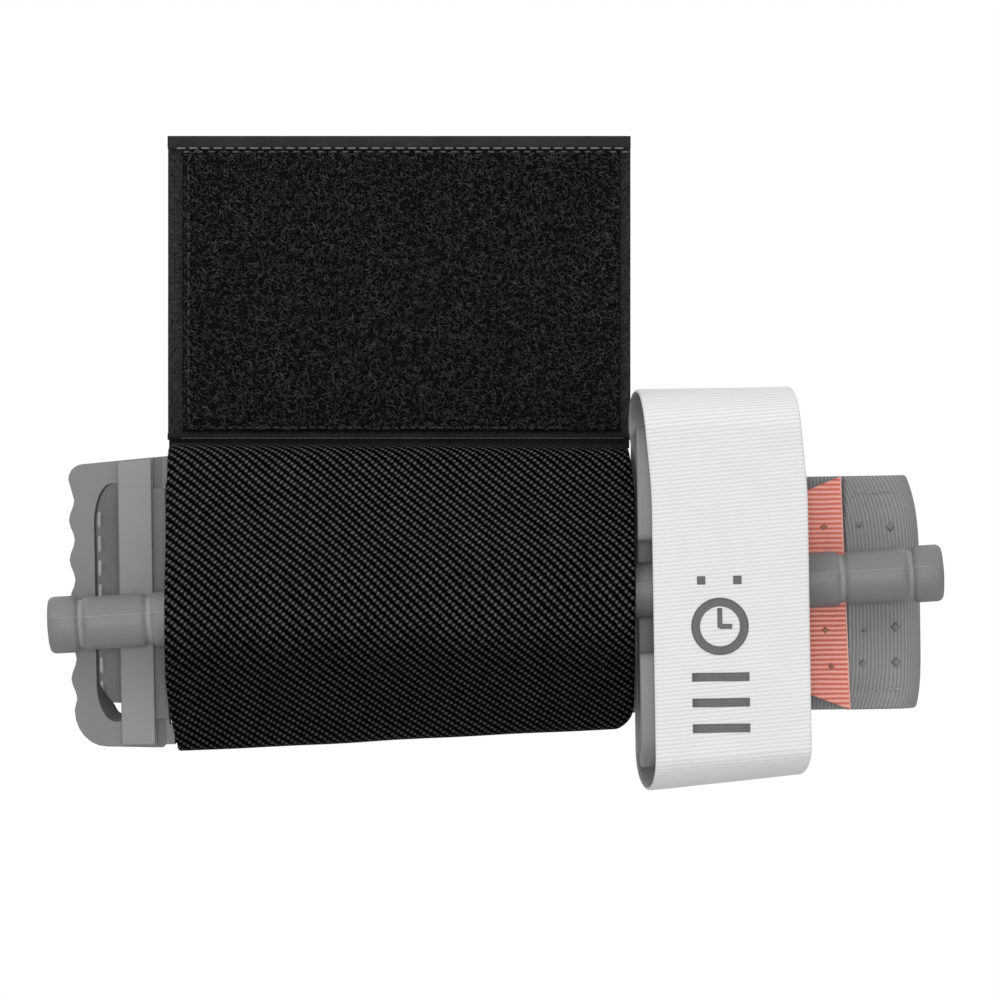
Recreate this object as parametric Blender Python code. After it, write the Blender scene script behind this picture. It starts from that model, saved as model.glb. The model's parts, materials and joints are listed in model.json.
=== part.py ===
"""Windlass tourniquet, folded and stowed in an elastic holder.

The row frame has X to the right along the folded belt, Z up and Y into the carrier that the holder hangs on.
The origin is the centre of the hook field's back face. Sizes here are in millimetres, and each mesh is scaled to
metres as it is made. The tourniquet has a frame of its own, whose origin is under the middle of the rod on the
mounting plane, and which leans by BELT_LEAN.
"""

import math

import bmesh
import bpy
from mathutils import Matrix, Vector

MM = 0.001
GAP = 0.3  # between pieces that touch

# Holder: the flap hangs in the plane y = 0 with its front at negative y.
FLAP_HALF_WIDTH = 38.1
FLAP_HALF_HEIGHT = 25.0
HOOK_THICKNESS = 1.3
PANEL_THICKNESS = 1.2
LOOP_THICKNESS = 2.0
TAPE_THICKNESS = 1.2
HEM_HEIGHT = 2.1
SEAM_TAPE_HEIGHT = 1.1
HOOK_MARGIN = 3.5
LOOP_LEFT = -35.6
LOOP_RIGHT = 36.4
PANEL_BACK = -HOOK_THICKNESS - GAP
PANEL_FRONT = PANEL_BACK - PANEL_THICKNESS

# Sleeve: a tube of 3 inch elastic that hangs from a seam under the flap.
SLEEVE_LEFT = -37.3
SLEEVE_RIGHT = 38.4
SLEEVE_TOP = -25.5
SLEEVE_BACK = -0.5
SLEEVE_CREST = -28.0
SLEEVE_THICKNESS = 1.2
CREST_HALF_WIDTH = 4.6
CREST_RADIUS = 7.0
SEAM_FRONT = -3.4
SEAM_RADIUS = 0.8
# The outline's other corners (y, z) at the left and at the right end, with their radii.
SHOULDERS = ((-18.0, -26.0), (-15.8, -26.6))
SHOULDER_RADIUS = 6.0
FEET = ((-17.8, -75.7), (-14.8, -72.2))
FOOT_RADIUS = 3.0
HEELS = (-76.2, -72.7)
HEEL_RADIUS = 2.0
INNER_RADIUS = 0.2  # the least radius of the tube's inside
SLEEVE_STATIONS = 9
# The left mouth is cut back towards its foot, and the right one towards its top.
LEFT_CUT = 1.6
LEFT_CUT_FROM = -64.0
LEFT_CUT_RUN = 11.0
RIGHT_CUT = 0.9
RIGHT_CUT_FROM = -34.0
RIGHT_CUT_RUN = 8.0
SEAM_AXIS = (0.0, -2.2, -25.25)

# Tourniquet frame and the rod's place in it.
ROD_CENTRE_X = 15.7
ROD_CENTRE_Z = -50.9
ROD_Y = -21.6
BELT_LEAN = math.radians(0.9)
ROD_LEAN = math.radians(2.5)
ROD_OFFSET = 0.2  # along the belt

# Belt: seven layers, the last of which wraps round the right end to the front.
LAYERS = 7
WEB_THICKNESS = 1.4
BELT_HALF_WIDTH = 19.0
STACK_BACK = -2.3
STACK_LEFT = -42.8
STACK_RIGHT = 62.8
REAR_FOLD_LEFT = -66.5
WRAP_SLACK = 0.2  # the outer wrap's room past the folds inside it
FREE_END = 57.0
LAYER_PITCH = WEB_THICKNESS + GAP
STACK_FRONT = STACK_BACK - LAYERS * LAYER_PITCH + GAP

# Plate, clip and tip lie on the front of the stack.
PLATE_FRONT = STACK_FRONT - GAP
PLATE_THICKNESS = 1.6
PLATE_LEFT = -42.3
PLATE_RIGHT = 22.6
PLATE_HALF_HEIGHT = 16.0
PLATE_OUTER_RADIUS = 3.0
PLATE_INNER_RADIUS = 1.0
CLIP_LEFT = 23.2
CLIP_RIGHT = 42.0
CLIP_HALF_HEIGHT = 27.5
CLIP_FRONT = -27.3
CLIP_WALL = 2.3
CLIP_MOUTH = 9.0
CLIP_CORNER = 5.0
CLIP_HEEL = 2.0  # radius where the clip's back turns
CLIP_HEEL_INNER = 1.5
TIP_LEFT = 43.0
TIP_RIGHT = 57.8
TIP_FRONT = -16.6
TIP_NARROW = 13.2
TIP_OVERLAP = 0.1  # between the two solids that are joined into the tip

# Rod: a turned bar with a grooved barrel and a head at each end.
ROD_HALF_LENGTH = 72.3
ROD_RADIUS = 4.45
BARREL_RADIUS = 4.25
HEAD_RADIUS = 4.6
GROOVE_RADIUS = 3.85
HEAD_LENGTH = 4.5
HEAD_CHAMFER = 0.6
HEAD_CROWN = 0.3
GROOVE_LENGTH = 1.6
BARREL_LENGTH = 9.4
ROD_STEPS = 32
ROD_SLOT_HALF_LENGTH = 11.0
ROD_SLOT_HALF_HEIGHT = 1.0
LOAD_STRAP_HALF_WIDTH = 10.4
LOAD_STRAP_THICKNESS = 1.0
LOAD_STRAP_REACH = 3.5  # from the rod's side to where the strap meets the plate
LOAD_STRAP_TAIL = 2.0

# Time strap: a loop round the clip, in a back half and a front half that peels open.
STRAP_THICKNESS = 1.0
STRAP_BACK_LEFT = 22.9
STRAP_SKEW = 2.5  # how far its front lies to the right of its back
STRAP_WIDTH = 25.0
STRAP_BACK = -1.5
STRAP_FRONT = -30.1
STRAP_TOP = 33.0
STRAP_BOTTOM = -30.1
STRAP_STRAIGHT_TOP = 26.8
STRAP_STRAIGHT_BOTTOM = -25.0
STRAP_MEETING_Y = -12.0
STRAP_CROWN_BACK = -5.2  # above the belt the back leans forward to here, clear of the flap
STRAP_LEAN_FROM = 19.6
STRAP_HALVES_GAP = 0.6
PATCH_THICKNESS = 0.7
PATCH_TOP = -11.0
PATCH_BOTTOM = -23.0
PATCH_LEFT = 26.0
PATCH_RIGHT = 40.5
PATCH_STEP = 1.0  # the loop patch ends this far above the hook patch

# Buckle: a frame on a pin, with a cover and a sprung prong plate.
BUCKLE_LEFT = -69.0
BUCKLE_BACK = -9.9
BUCKLE_FRONT = -15.2
BUCKLE_TOP = 24.1
BUCKLE_TOP_LEFT = 22.9
BUCKLE_TOP_CORNER = 2.5
BUCKLE_BOTTOM = -23.4
BUCKLE_BOTTOM_LEFT = -23.1
BUCKLE_BOTTOM_CORNER = (5.2, 6.0)
RAIL_HALF_HEIGHT = 21.4
RAIL_INNER = 19.6
RAIL_RIGHT = -46.9
CROSSBAR_RIGHT = -57.5
UPPER_SHOULDER = -51.6
LOWER_SHOULDER = -52.3
FOOT_STEP = 0.5  # the frame's foot rises by this at its right end
FOOT_STEP_FROM = -54.3
FOOT_STEP_TO = -53.8
CHANNEL = (-55.2, -53.7)  # a groove down the frame beside the cover
CHANNEL_DEPTH = 0.8
PRONG_OPENING_RIGHT = -53.15
SCALLOP_PITCH = 6.45
SCALLOP_CENTRE = 0.9
SCALLOP_DEPTH = 0.9
SCALLOPS_EACH_WAY = 3
SLOT_LEFT = -64.9
SLOT_RIGHT = -60.6
SLOT_TOP = 19.7
SLOT_BOTTOM = -19.3
SLOT_END = (3.0, 6.5)  # radii of the slot's outer corners
SLOT_CORNER = 0.8
SLOT_LEDGE = 1.7  # the slot's lower end slopes up by this towards its back
SLOT_LEDGE_FROM = -14.0
CUT_THROUGH = 1.0  # how far the slot's cutter passes the frame's faces
COVER_LEFT = -60.9
COVER_RIGHT = -55.4
COVER_INSET = 0.2
COVER_RADIUS = 0.4
COVER_THICKNESS = 0.9
PIN_X = -49.5
PIN_Y = -13.0
PIN_RADIUS = 1.6
PIN_HALF_LENGTH = 20.9
LOOP_END_X = -46.5
LOOP_RADIUS = 2.6
LOOP_THICKNESS_WEB = 1.3
PRONG_AXIS_X = -56.6
PRONG_AXIS_Y = -14.6
PRONG_LEFT = -57.2
PRONG_RIGHT = -53.2
PRONG_THICKNESS = 1.2
PRONG_HALF_HEIGHT = 18.3
PRONG_LENGTH = 2.0
PRONG_RADIUS = 0.9
PRONG_PLACES = (-9.0, 9.0)
PRONG_ROOT = 0.4  # how far a prong starts inside its plate
PRONG_OFFSET = 0.4  # from the plate's middle
SPRING_THICKNESS = 0.35
SPRING_HALF_HEIGHT = 4.0
SPRING_MARGIN = 0.35


def clear_scene():
    for obj in list(bpy.data.objects):
        bpy.data.objects.remove(obj, do_unlink=True)


def material(name, colour, roughness, metallic=0.0):
    """A Principled material of one colour."""
    made = bpy.data.materials.new(name)
    made.use_nodes = True
    shader = made.node_tree.nodes["Principled BSDF"]
    shader.inputs["Base Color"].default_value = (*colour, 1.0)
    shader.inputs["Roughness"].default_value = roughness
    shader.inputs["Metallic"].default_value = metallic
    return made


def empty(name, place, parent=None, lean=0.0):
    """An empty at a place in its parent's frame, in millimetres, leaning about Y."""
    made = bpy.data.objects.new(name, None)
    bpy.context.collection.objects.link(made)
    made.location = Vector(place) * MM
    made.rotation_euler = (0.0, -lean, 0.0)
    made.parent = parent
    return made


def add_object(name, bm, surface, parent, origin=(0.0, 0.0, 0.0)):
    """Make an object of a bmesh drawn in millimetres, with its origin moved to a place in that drawing."""
    bmesh.ops.translate(bm, verts=bm.verts, vec=-Vector(origin))
    bmesh.ops.scale(bm, verts=bm.verts, vec=(MM, MM, MM))
    bmesh.ops.recalc_face_normals(bm, faces=bm.faces)
    mesh = bpy.data.meshes.new(name)
    bm.to_mesh(mesh)
    bm.free()
    made = bpy.data.objects.new(name, mesh)
    bpy.context.collection.objects.link(made)
    mesh.materials.append(surface)
    made.parent = parent
    return made


def prism(outline, low, high, axis):
    """A bmesh of an outline pulled along an axis: X takes (y, z), Y takes (x, z) and Z takes (x, y)."""
    order = {"X": lambda a, b, c: (c, a, b), "Y": lambda a, b, c: (a, c, b), "Z": lambda a, b, c: (a, b, c)}
    bm = bmesh.new()
    ring = [bm.verts.new(order[axis](a, b, low)) for a, b in outline]
    face = bm.faces.new(ring)
    pulled = bmesh.ops.extrude_face_region(bm, geom=[face])
    moved = [v for v in pulled["geom"] if isinstance(v, bmesh.types.BMVert)]
    bmesh.ops.translate(bm, verts=moved, vec=order[axis](0.0, 0.0, high - low))
    return bm


def block(low, high):
    """A bmesh box between two corners."""
    corners = [(low[0], low[2]), (high[0], low[2]), (high[0], high[2]), (low[0], high[2])]
    return prism(corners, low[1], high[1], "Y")


def cylinder(radius, half_length, steps, end_radius=None):
    """A bmesh cylinder or cone along Z, centred on the origin."""
    bm = bmesh.new()
    top = radius if end_radius is None else end_radius
    bmesh.ops.create_cone(bm, cap_ends=True, segments=steps, radius1=radius, radius2=top, depth=2 * half_length)
    return bm


def arc(centre, radii, start, end, steps):
    """Points of an ellipse's arc between two angles in degrees, both ends included."""
    angles = [math.radians(start + (end - start) * i / steps) for i in range(steps + 1)]
    return [(centre[0] + radii[0] * math.cos(a), centre[1] + radii[1] * math.sin(a)) for a in angles]


def rounded(corners, steps=4):
    """A closed outline from corners (a, b, radius), each rounded by an arc of steps segments."""
    points = []
    for i, (a, b, radius) in enumerate(corners):
        here = Vector((a, b))
        back = Vector(corners[i - 1][:2]) - here
        ahead = Vector(corners[(i + 1) % len(corners)][:2]) - here
        back.normalize()
        ahead.normalize()
        half = back.angle(ahead) / 2
        reach = radius / math.tan(half)
        centre = here + (back + ahead).normalized() * radius / math.sin(half)
        start = here + back * reach - centre
        turn = start.angle_signed(here + ahead * reach - centre)
        for k in range(steps + 1):
            spin = Matrix.Rotation(-turn * k / steps, 2)
            points.append(tuple(centre + spin @ start))
    return points


def ribbon(path, thickness, closed=False):
    """The outline of a strip of even thickness along a path; a closed path gives its two edges apart."""
    left = []
    right = []
    count = len(path)
    for i in range(count):
        here = Vector(path[i])
        before = Vector(path[i - 1]) if closed or i > 0 else here
        after = Vector(path[(i + 1) % count]) if closed or i < count - 1 else here
        inward = (here - before).normalized() if here != before else (after - here).normalized()
        onward = (after - here).normalized() if after != here else inward
        normal = Vector((-(inward + onward).y, (inward + onward).x)).normalized()
        reach = thickness / 2 / max(normal.dot(Vector((-onward.y, onward.x))), 0.5)
        left.append(tuple(here + normal * reach))
        right.append(tuple(here - normal * reach))
    if closed:
        return left, right
    return left + right[::-1]


def ring_prism(outer, inner, low, high):
    """A bmesh tube along Z between two closed outlines with the same number of points."""
    bm = bmesh.new()
    count = len(outer)
    rows = [[bm.verts.new((x, y, z)) for x, y in edge] for edge in (outer, inner) for z in (low, high)]
    for i in range(count):
        j = (i + 1) % count
        for a, b in ((0, 1), (1, 3), (3, 2), (2, 0)):
            bm.faces.new((rows[a][i], rows[a][j], rows[b][j], rows[b][i]))
    return bm


def cutter(name, bm, parent, origin=(0.0, 0.0, 0.0)):
    """An object that only cuts others."""
    made = add_object(name, bm, MATERIALS["cutter"], parent, origin)
    made.hide_render = True
    made.display_type = "WIRE"
    return made


def apply_boolean(target, tool, operation):
    """Add an exact Boolean to a piece."""
    step = target.modifiers.new(operation.title(), "BOOLEAN")
    step.operation = operation
    step.solver = "EXACT"
    step.object = tool


def build_holder():
    """The flap with its hem, fields and seam tape."""
    side = FLAP_HALF_WIDTH
    top = FLAP_HALF_HEIGHT
    front = PANEL_FRONT - GAP
    panel = block((-side, PANEL_FRONT, -top), (side, PANEL_BACK, top))
    add_object("flap_panel", panel, MATERIALS["nylon"], None)
    hook_side = side - HOOK_MARGIN
    hook_top = top - HOOK_MARGIN
    hook = block((-hook_side, -HOOK_THICKNESS, -hook_top), (hook_side, 0.0, hook_top))
    add_object("hook_field", hook, MATERIALS["hook"], None)
    hem_low = top - HEM_HEIGHT
    hem = block((-side, front - TAPE_THICKNESS, hem_low), (side, front, top))
    add_object("top_hem", hem, MATERIALS["webbing_black"], None)
    tape_high = -top + SEAM_TAPE_HEIGHT
    tape = block((-side, front - TAPE_THICKNESS, -top), (side, front, tape_high))
    add_object("seam_tape", tape, MATERIALS["webbing_black"], None)
    pile_low = (LOOP_LEFT, front - LOOP_THICKNESS, tape_high + GAP)
    pile = block(pile_low, (LOOP_RIGHT, front, hem_low - GAP))
    add_object("loop_field", pile, MATERIALS["loop"], None)


def sleeve_section(share, shrink):
    """The sleeve's closed outline (y, z) at a share of its length from the left, moved inwards by shrink."""
    x = SLEEVE_LEFT + (SLEEVE_RIGHT - SLEEVE_LEFT) * share
    crest = ROD_CENTRE_Z + (x - ROD_CENTRE_X) * math.tan(BELT_LEAN + ROD_LEAN)
    shoulder = [a + (b - a) * share for a, b in zip(*SHOULDERS)]
    foot = [a + (b - a) * share for a, b in zip(*FEET)]
    heel = HEELS[0] + (HEELS[1] - HEELS[0]) * share
    corners = [
        (SEAM_FRONT, SLEEVE_TOP, SEAM_RADIUS),
        (*shoulder, SHOULDER_RADIUS),
        (SLEEVE_CREST, crest + CREST_HALF_WIDTH, CREST_RADIUS),
        (SLEEVE_CREST, crest - CREST_HALF_WIDTH, CREST_RADIUS),
        (*foot, FOOT_RADIUS),
        (SLEEVE_BACK, heel, HEEL_RADIUS),
        (SLEEVE_BACK, SLEEVE_TOP, SEAM_RADIUS),
    ]
    if not shrink:
        return rounded(corners)
    left, right = ribbon([c[:2] for c in corners], 2 * shrink, closed=True)
    inner = min(left, right, key=lambda edge: max(z for y, z in edge))
    return rounded([(y, z, max(c[2] - shrink, INNER_RADIUS)) for (y, z), c in zip(inner, corners)])


def mouth_cut(z, start, run):
    """How far a mouth is cut back at a height, from 0 at start to about 1 after run."""
    return max((z - start) / run, 0.0) ** 1.5


def build_sleeve(hinge):
    """The elastic tube, lofted from left to right."""
    bm = bmesh.new()
    rows = []
    for k in range(SLEEVE_STATIONS):
        share = k / (SLEEVE_STATIONS - 1)
        row = []
        for shrink in (0.0, SLEEVE_THICKNESS):
            skin = []
            for y, z in sleeve_section(share, shrink):
                left = SLEEVE_LEFT + LEFT_CUT * mouth_cut(z, LEFT_CUT_FROM, -LEFT_CUT_RUN)
                right = SLEEVE_RIGHT - RIGHT_CUT * mouth_cut(z, RIGHT_CUT_FROM, RIGHT_CUT_RUN)
                skin.append(bm.verts.new((left + (right - left) * share, y, z)))
            row.append(skin)
        rows.append(row)
    count = len(rows[0][0])
    for i in range(count):
        j = (i + 1) % count
        for here, there in zip(rows, rows[1:]):
            for skin in (0, 1):
                bm.faces.new((here[skin][i], here[skin][j], there[skin][j], there[skin][i]))
        for end in (rows[0], rows[-1]):
            bm.faces.new((end[0][i], end[0][j], end[1][j], end[1][i]))
    made = add_object("elastic_sleeve", bm, MATERIALS["elastic"], hinge, SEAM_AXIS)
    made.data.shade_smooth()
    made.data.set_sharp_from_angle(angle=math.radians(40))


def belt_path():
    """The folded belt's centre line (x, y), from its fixed end to its free end."""
    bend = LAYER_PITCH / 2
    fold = bend + WEB_THICKNESS / 2
    path = [(STACK_LEFT, STACK_FRONT + WEB_THICKNESS / 2)]
    for layer in range(1, LAYERS):
        y = STACK_FRONT + WEB_THICKNESS / 2 + (layer - 0.5) * LAYER_PITCH
        if layer % 2:
            path += arc((STACK_RIGHT - fold, y), (bend, bend), -90, 90, 8)
        else:
            left = REAR_FOLD_LEFT if layer == LAYERS - 1 else STACK_LEFT
            path += arc((left + fold, y), (bend, bend), 270, 90, 8)
    rear = STACK_BACK - WEB_THICKNESS / 2
    front = PLATE_FRONT - WEB_THICKNESS / 2
    wrap = (rear - front) / 2
    path += arc((STACK_RIGHT + WRAP_SLACK, (rear + front) / 2), (wrap, wrap), 90, -90, 16)
    path.append((FREE_END, front))
    return path


def build_belt(base):
    """The belt, its fixed end and its red tip."""
    outline = ribbon(belt_path(), WEB_THICKNESS)
    stack = prism(outline, -BELT_HALF_WIDTH, BELT_HALF_WIDTH, "Z")
    add_object("outer_band", stack, MATERIALS["webbing_grey"], base)
    turn = arc((PIN_X, PIN_Y), (LOOP_RADIUS, LOOP_RADIUS), 90, 270, 12)
    turn += arc((LOOP_END_X, PIN_Y), (LOOP_RADIUS, LOOP_RADIUS), -90, 90, 12)
    inner, outer = ribbon(turn, LOOP_THICKNESS_WEB, closed=True)
    loop = ring_prism(outer, inner, -BELT_HALF_WIDTH, BELT_HALF_WIDTH)
    add_object("fixed_end_loop", loop, MATERIALS["webbing_grey"], base)

    def taper(left, right, half):
        slope = (BELT_HALF_WIDTH - TIP_NARROW) / (TIP_RIGHT - TIP_LEFT)
        low = TIP_NARROW + slope * (left - TIP_LEFT)
        return [(left, -low), (right, -half), (right, half), (left, low)]

    lap = FREE_END - GAP
    near = TIP_NARROW + (BELT_HALF_WIDTH - TIP_NARROW) / (TIP_RIGHT - TIP_LEFT) * (lap - TIP_LEFT)
    tip_mid = PLATE_FRONT - WEB_THICKNESS - GAP
    front = prism(taper(TIP_LEFT, TIP_RIGHT, BELT_HALF_WIDTH), TIP_FRONT, tip_mid, "Y")
    tip = add_object("red_tip", front, MATERIALS["webbing_red"], base)
    back = prism(taper(TIP_LEFT, lap, near), tip_mid - TIP_OVERLAP, PLATE_FRONT, "Y")
    apply_boolean(tip, cutter("tip_lap", back, base), "UNION")


def build_plate_and_clip(base):
    """The stabiliser plate and the C-shaped clip, with the loop patch on the clip's lower arm."""
    plate_corners = [
        (PLATE_LEFT, -PLATE_HALF_HEIGHT, PLATE_OUTER_RADIUS),
        (PLATE_RIGHT, -PLATE_HALF_HEIGHT, PLATE_INNER_RADIUS),
        (PLATE_RIGHT, PLATE_HALF_HEIGHT, PLATE_INNER_RADIUS),
        (PLATE_LEFT, PLATE_HALF_HEIGHT, PLATE_OUTER_RADIUS),
    ]
    plate = prism(rounded(plate_corners), PLATE_FRONT - PLATE_THICKNESS, PLATE_FRONT, "Y")
    add_object("base_plate", plate, MATERIALS["plastic"], base)

    back = PLATE_FRONT
    inner = CLIP_CORNER - CLIP_WALL
    side = CLIP_HALF_HEIGHT
    heel = CLIP_HEEL
    section = [(back, 0.0), *arc((back - heel, side - heel), (heel, heel), 0, 90, 4)]
    section += arc((CLIP_FRONT + CLIP_CORNER, side - CLIP_CORNER), (CLIP_CORNER, CLIP_CORNER), 90, 180, 6)
    lip = CLIP_WALL / 2
    section += arc((CLIP_FRONT + lip, CLIP_MOUTH + lip), (lip, lip), 180, 360, 6)
    section += arc((CLIP_FRONT + CLIP_CORNER, side - CLIP_CORNER), (inner, inner), 180, 90, 6)
    heel = CLIP_HEEL_INNER
    section += arc((back - CLIP_WALL - heel, side - CLIP_WALL - heel), (heel, heel), 90, 0, 4)
    section.append((back - CLIP_WALL, 0.0))
    mirrored = [(y, -z) for y, z in section[1:-1]]
    outline = section + mirrored[::-1]
    clip = prism(outline, CLIP_LEFT, CLIP_RIGHT, "X")
    add_object("windlass_clip", clip, MATERIALS["plastic"], base)

    face = CLIP_FRONT - GAP
    low = (PATCH_LEFT, face - PATCH_THICKNESS, PATCH_BOTTOM + PATCH_STEP)
    patch = block(low, (PATCH_RIGHT, face, PATCH_TOP))
    add_object("time_loop_patch", patch, MATERIALS["loop_grey"], base)


def skewed(bm):
    """Move the time strap's front to the right of its back."""
    for v in bm.verts:
        v.co.x += STRAP_SKEW * (STRAP_BACK - v.co.y) / (STRAP_BACK - STRAP_FRONT)
    return bm


def build_time_strap(base, hinge, axis):
    """The white strap in its two halves, and the hook patch on the half that opens."""
    middle = (STRAP_BACK + STRAP_FRONT) / 2
    half = (STRAP_BACK - STRAP_FRONT) / 2
    crown = STRAP_TOP - STRAP_STRAIGHT_TOP
    foot = STRAP_STRAIGHT_BOTTOM - STRAP_BOTTOM
    meeting = math.degrees(math.acos((STRAP_MEETING_Y - middle) / half))
    clear = math.degrees(GAP / half)
    tail = arc((middle, STRAP_STRAIGHT_BOTTOM), (half, foot), -meeting + clear, 0, 8)
    crown_half = (STRAP_CROWN_BACK - STRAP_FRONT) / 2
    crown_centre = (STRAP_FRONT + crown_half, STRAP_STRAIGHT_TOP + STRAP_HALVES_GAP)
    back_path = tail + [(STRAP_BACK, STRAP_LEAN_FROM)] + arc(crown_centre, (crown_half, crown), 0, 180, 18)
    outline = ribbon(back_path, STRAP_THICKNESS)
    right = STRAP_BACK_LEFT + STRAP_WIDTH
    back = skewed(prism(outline, STRAP_BACK_LEFT, right, "X"))
    add_object("time_strap_back", back, MATERIALS["strap_white"], base)

    front_path = [(STRAP_FRONT, STRAP_STRAIGHT_TOP)]
    front_path += arc((middle, STRAP_STRAIGHT_BOTTOM), (half, foot), 180, 360 - meeting - clear, 10)
    outline = ribbon(front_path, STRAP_THICKNESS)
    front = skewed(prism(outline, STRAP_BACK_LEFT, right, "X"))
    add_object("time_strap_front", front, MATERIALS["strap_white"], hinge, axis)

    face = STRAP_FRONT + STRAP_THICKNESS / 2 + GAP
    low = (PATCH_LEFT, face, PATCH_BOTTOM)
    patch = block(low, (PATCH_RIGHT, face + PATCH_THICKNESS, PATCH_TOP))
    add_object("time_hook_patch", patch, MATERIALS["hook_grey"], hinge, axis)


def build_windlass(axle):
    """The rod, drawn along X about its own centre, and the load strap through its slot."""
    head = ROD_HALF_LENGTH
    barrel = head - HEAD_LENGTH - GROOVE_LENGTH
    body = barrel - BARREL_LENGTH - GROOVE_LENGTH
    half = [
        (body, ROD_RADIUS),
        (body + GROOVE_LENGTH / 2, GROOVE_RADIUS),
        (body + GROOVE_LENGTH, BARREL_RADIUS),
        (barrel, BARREL_RADIUS),
        (barrel + GROOVE_LENGTH / 2, GROOVE_RADIUS),
        (barrel + GROOVE_LENGTH, HEAD_RADIUS),
        (head - HEAD_CHAMFER, HEAD_RADIUS),
        (head, HEAD_RADIUS - HEAD_CHAMFER),
        (head + HEAD_CROWN, 0.0),
    ]
    profile = [(-x, r) for x, r in half[::-1]] + half
    bm = bmesh.new()
    line = [bm.verts.new((x, 0.0, r)) for x, r in profile]
    edges = [bm.edges.new(pair) for pair in zip(line, line[1:])]
    turn = {"cent": (0, 0, 0), "axis": (1, 0, 0), "angle": math.tau, "steps": ROD_STEPS}
    bmesh.ops.spin(bm, geom=line + edges, use_duplicate=False, **turn)
    bmesh.ops.remove_doubles(bm, verts=bm.verts, dist=0.001)
    rod = add_object("windlass_rod", bm, MATERIALS["rod"], axle)
    rod.data.shade_smooth()
    rod.data.set_sharp_from_angle(angle=math.radians(25))
    reach = (ROD_SLOT_HALF_LENGTH, ROD_SLOT_HALF_HEIGHT, 2 * ROD_RADIUS)
    slot = block([-r for r in reach], reach)
    apply_boolean(rod, cutter("rod_slot", slot, axle), "DIFFERENCE")

    foot = PLATE_FRONT - PLATE_THICKNESS - GAP - LOAD_STRAP_THICKNESS / 2 - ROD_Y
    side = ROD_RADIUS + LOAD_STRAP_REACH
    path = [(foot, side + LOAD_STRAP_TAIL), (foot, side), (0.0, ROD_RADIUS + LOAD_STRAP_THICKNESS), (0.0, 0.0)]
    path += [(y, -z) for y, z in path[-2::-1]]
    strap = prism(ribbon(path, LOAD_STRAP_THICKNESS), -LOAD_STRAP_HALF_WIDTH, LOAD_STRAP_HALF_WIDTH, "X")
    add_object("windlass_strap", strap, MATERIALS["webbing_grey"], axle)


def buckle_outline():
    """The frame's outline (x, z): scallops on the left, two rails to the right."""
    high = SCALLOP_CENTRE + SCALLOP_PITCH * (SCALLOPS_EACH_WAY - 0.5)
    low = SCALLOP_CENTRE - SCALLOP_PITCH * (SCALLOPS_EACH_WAY - 0.5)
    steps = 6 * (2 * SCALLOPS_EACH_WAY - 1)
    edge = []
    for k in range(steps + 1):
        z = low + (high - low) * k / steps
        wave = 0.5 - 0.5 * math.cos(math.tau * (z - SCALLOP_CENTRE) / SCALLOP_PITCH)
        edge.append((BUCKLE_LEFT + SCALLOP_DEPTH * wave, z))
    corner = BUCKLE_TOP_CORNER
    edge += arc((BUCKLE_LEFT + corner, BUCKLE_TOP_LEFT - corner), (corner, corner), 180, 90, 5)
    edge += [(UPPER_SHOULDER, BUCKLE_TOP), (UPPER_SHOULDER, RAIL_HALF_HEIGHT), (RAIL_RIGHT, RAIL_HALF_HEIGHT)]
    opening = PRONG_HALF_HEIGHT + GAP
    inner = [(RAIL_RIGHT, RAIL_INNER), (PRONG_OPENING_RIGHT, RAIL_INNER), (PRONG_OPENING_RIGHT, opening)]
    inner.append((CROSSBAR_RIGHT, opening))
    edge += inner
    edge += [(x, -z) for x, z in inner[::-1]]
    edge += [(RAIL_RIGHT, -RAIL_HALF_HEIGHT), (LOWER_SHOULDER, -RAIL_HALF_HEIGHT)]
    step = BUCKLE_BOTTOM + FOOT_STEP
    edge += [(LOWER_SHOULDER, step), (FOOT_STEP_TO, step), (FOOT_STEP_FROM, BUCKLE_BOTTOM)]
    across, up = BUCKLE_BOTTOM_CORNER
    edge += arc((BUCKLE_LEFT + SCALLOP_DEPTH / 2 + across, BUCKLE_BOTTOM_LEFT + up), (across, up), 270, 180, 6)
    return edge


def slot_outline():
    """The belt slot's outline (x, z): a D whose outer corners are long and whose inner ones are tight."""
    across, up = SLOT_END
    small = SLOT_CORNER
    edge = arc((SLOT_LEFT + across, SLOT_TOP - up), (across, up), 180, 90, 8)
    edge += arc((SLOT_RIGHT - small, SLOT_TOP - small), (small, small), 90, 0, 3)
    edge += arc((SLOT_RIGHT - small, SLOT_BOTTOM + small), (small, small), 0, -90, 3)
    edge += arc((SLOT_LEFT + across, SLOT_BOTTOM + up), (across, up), 270, 180, 8)
    return edge


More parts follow.
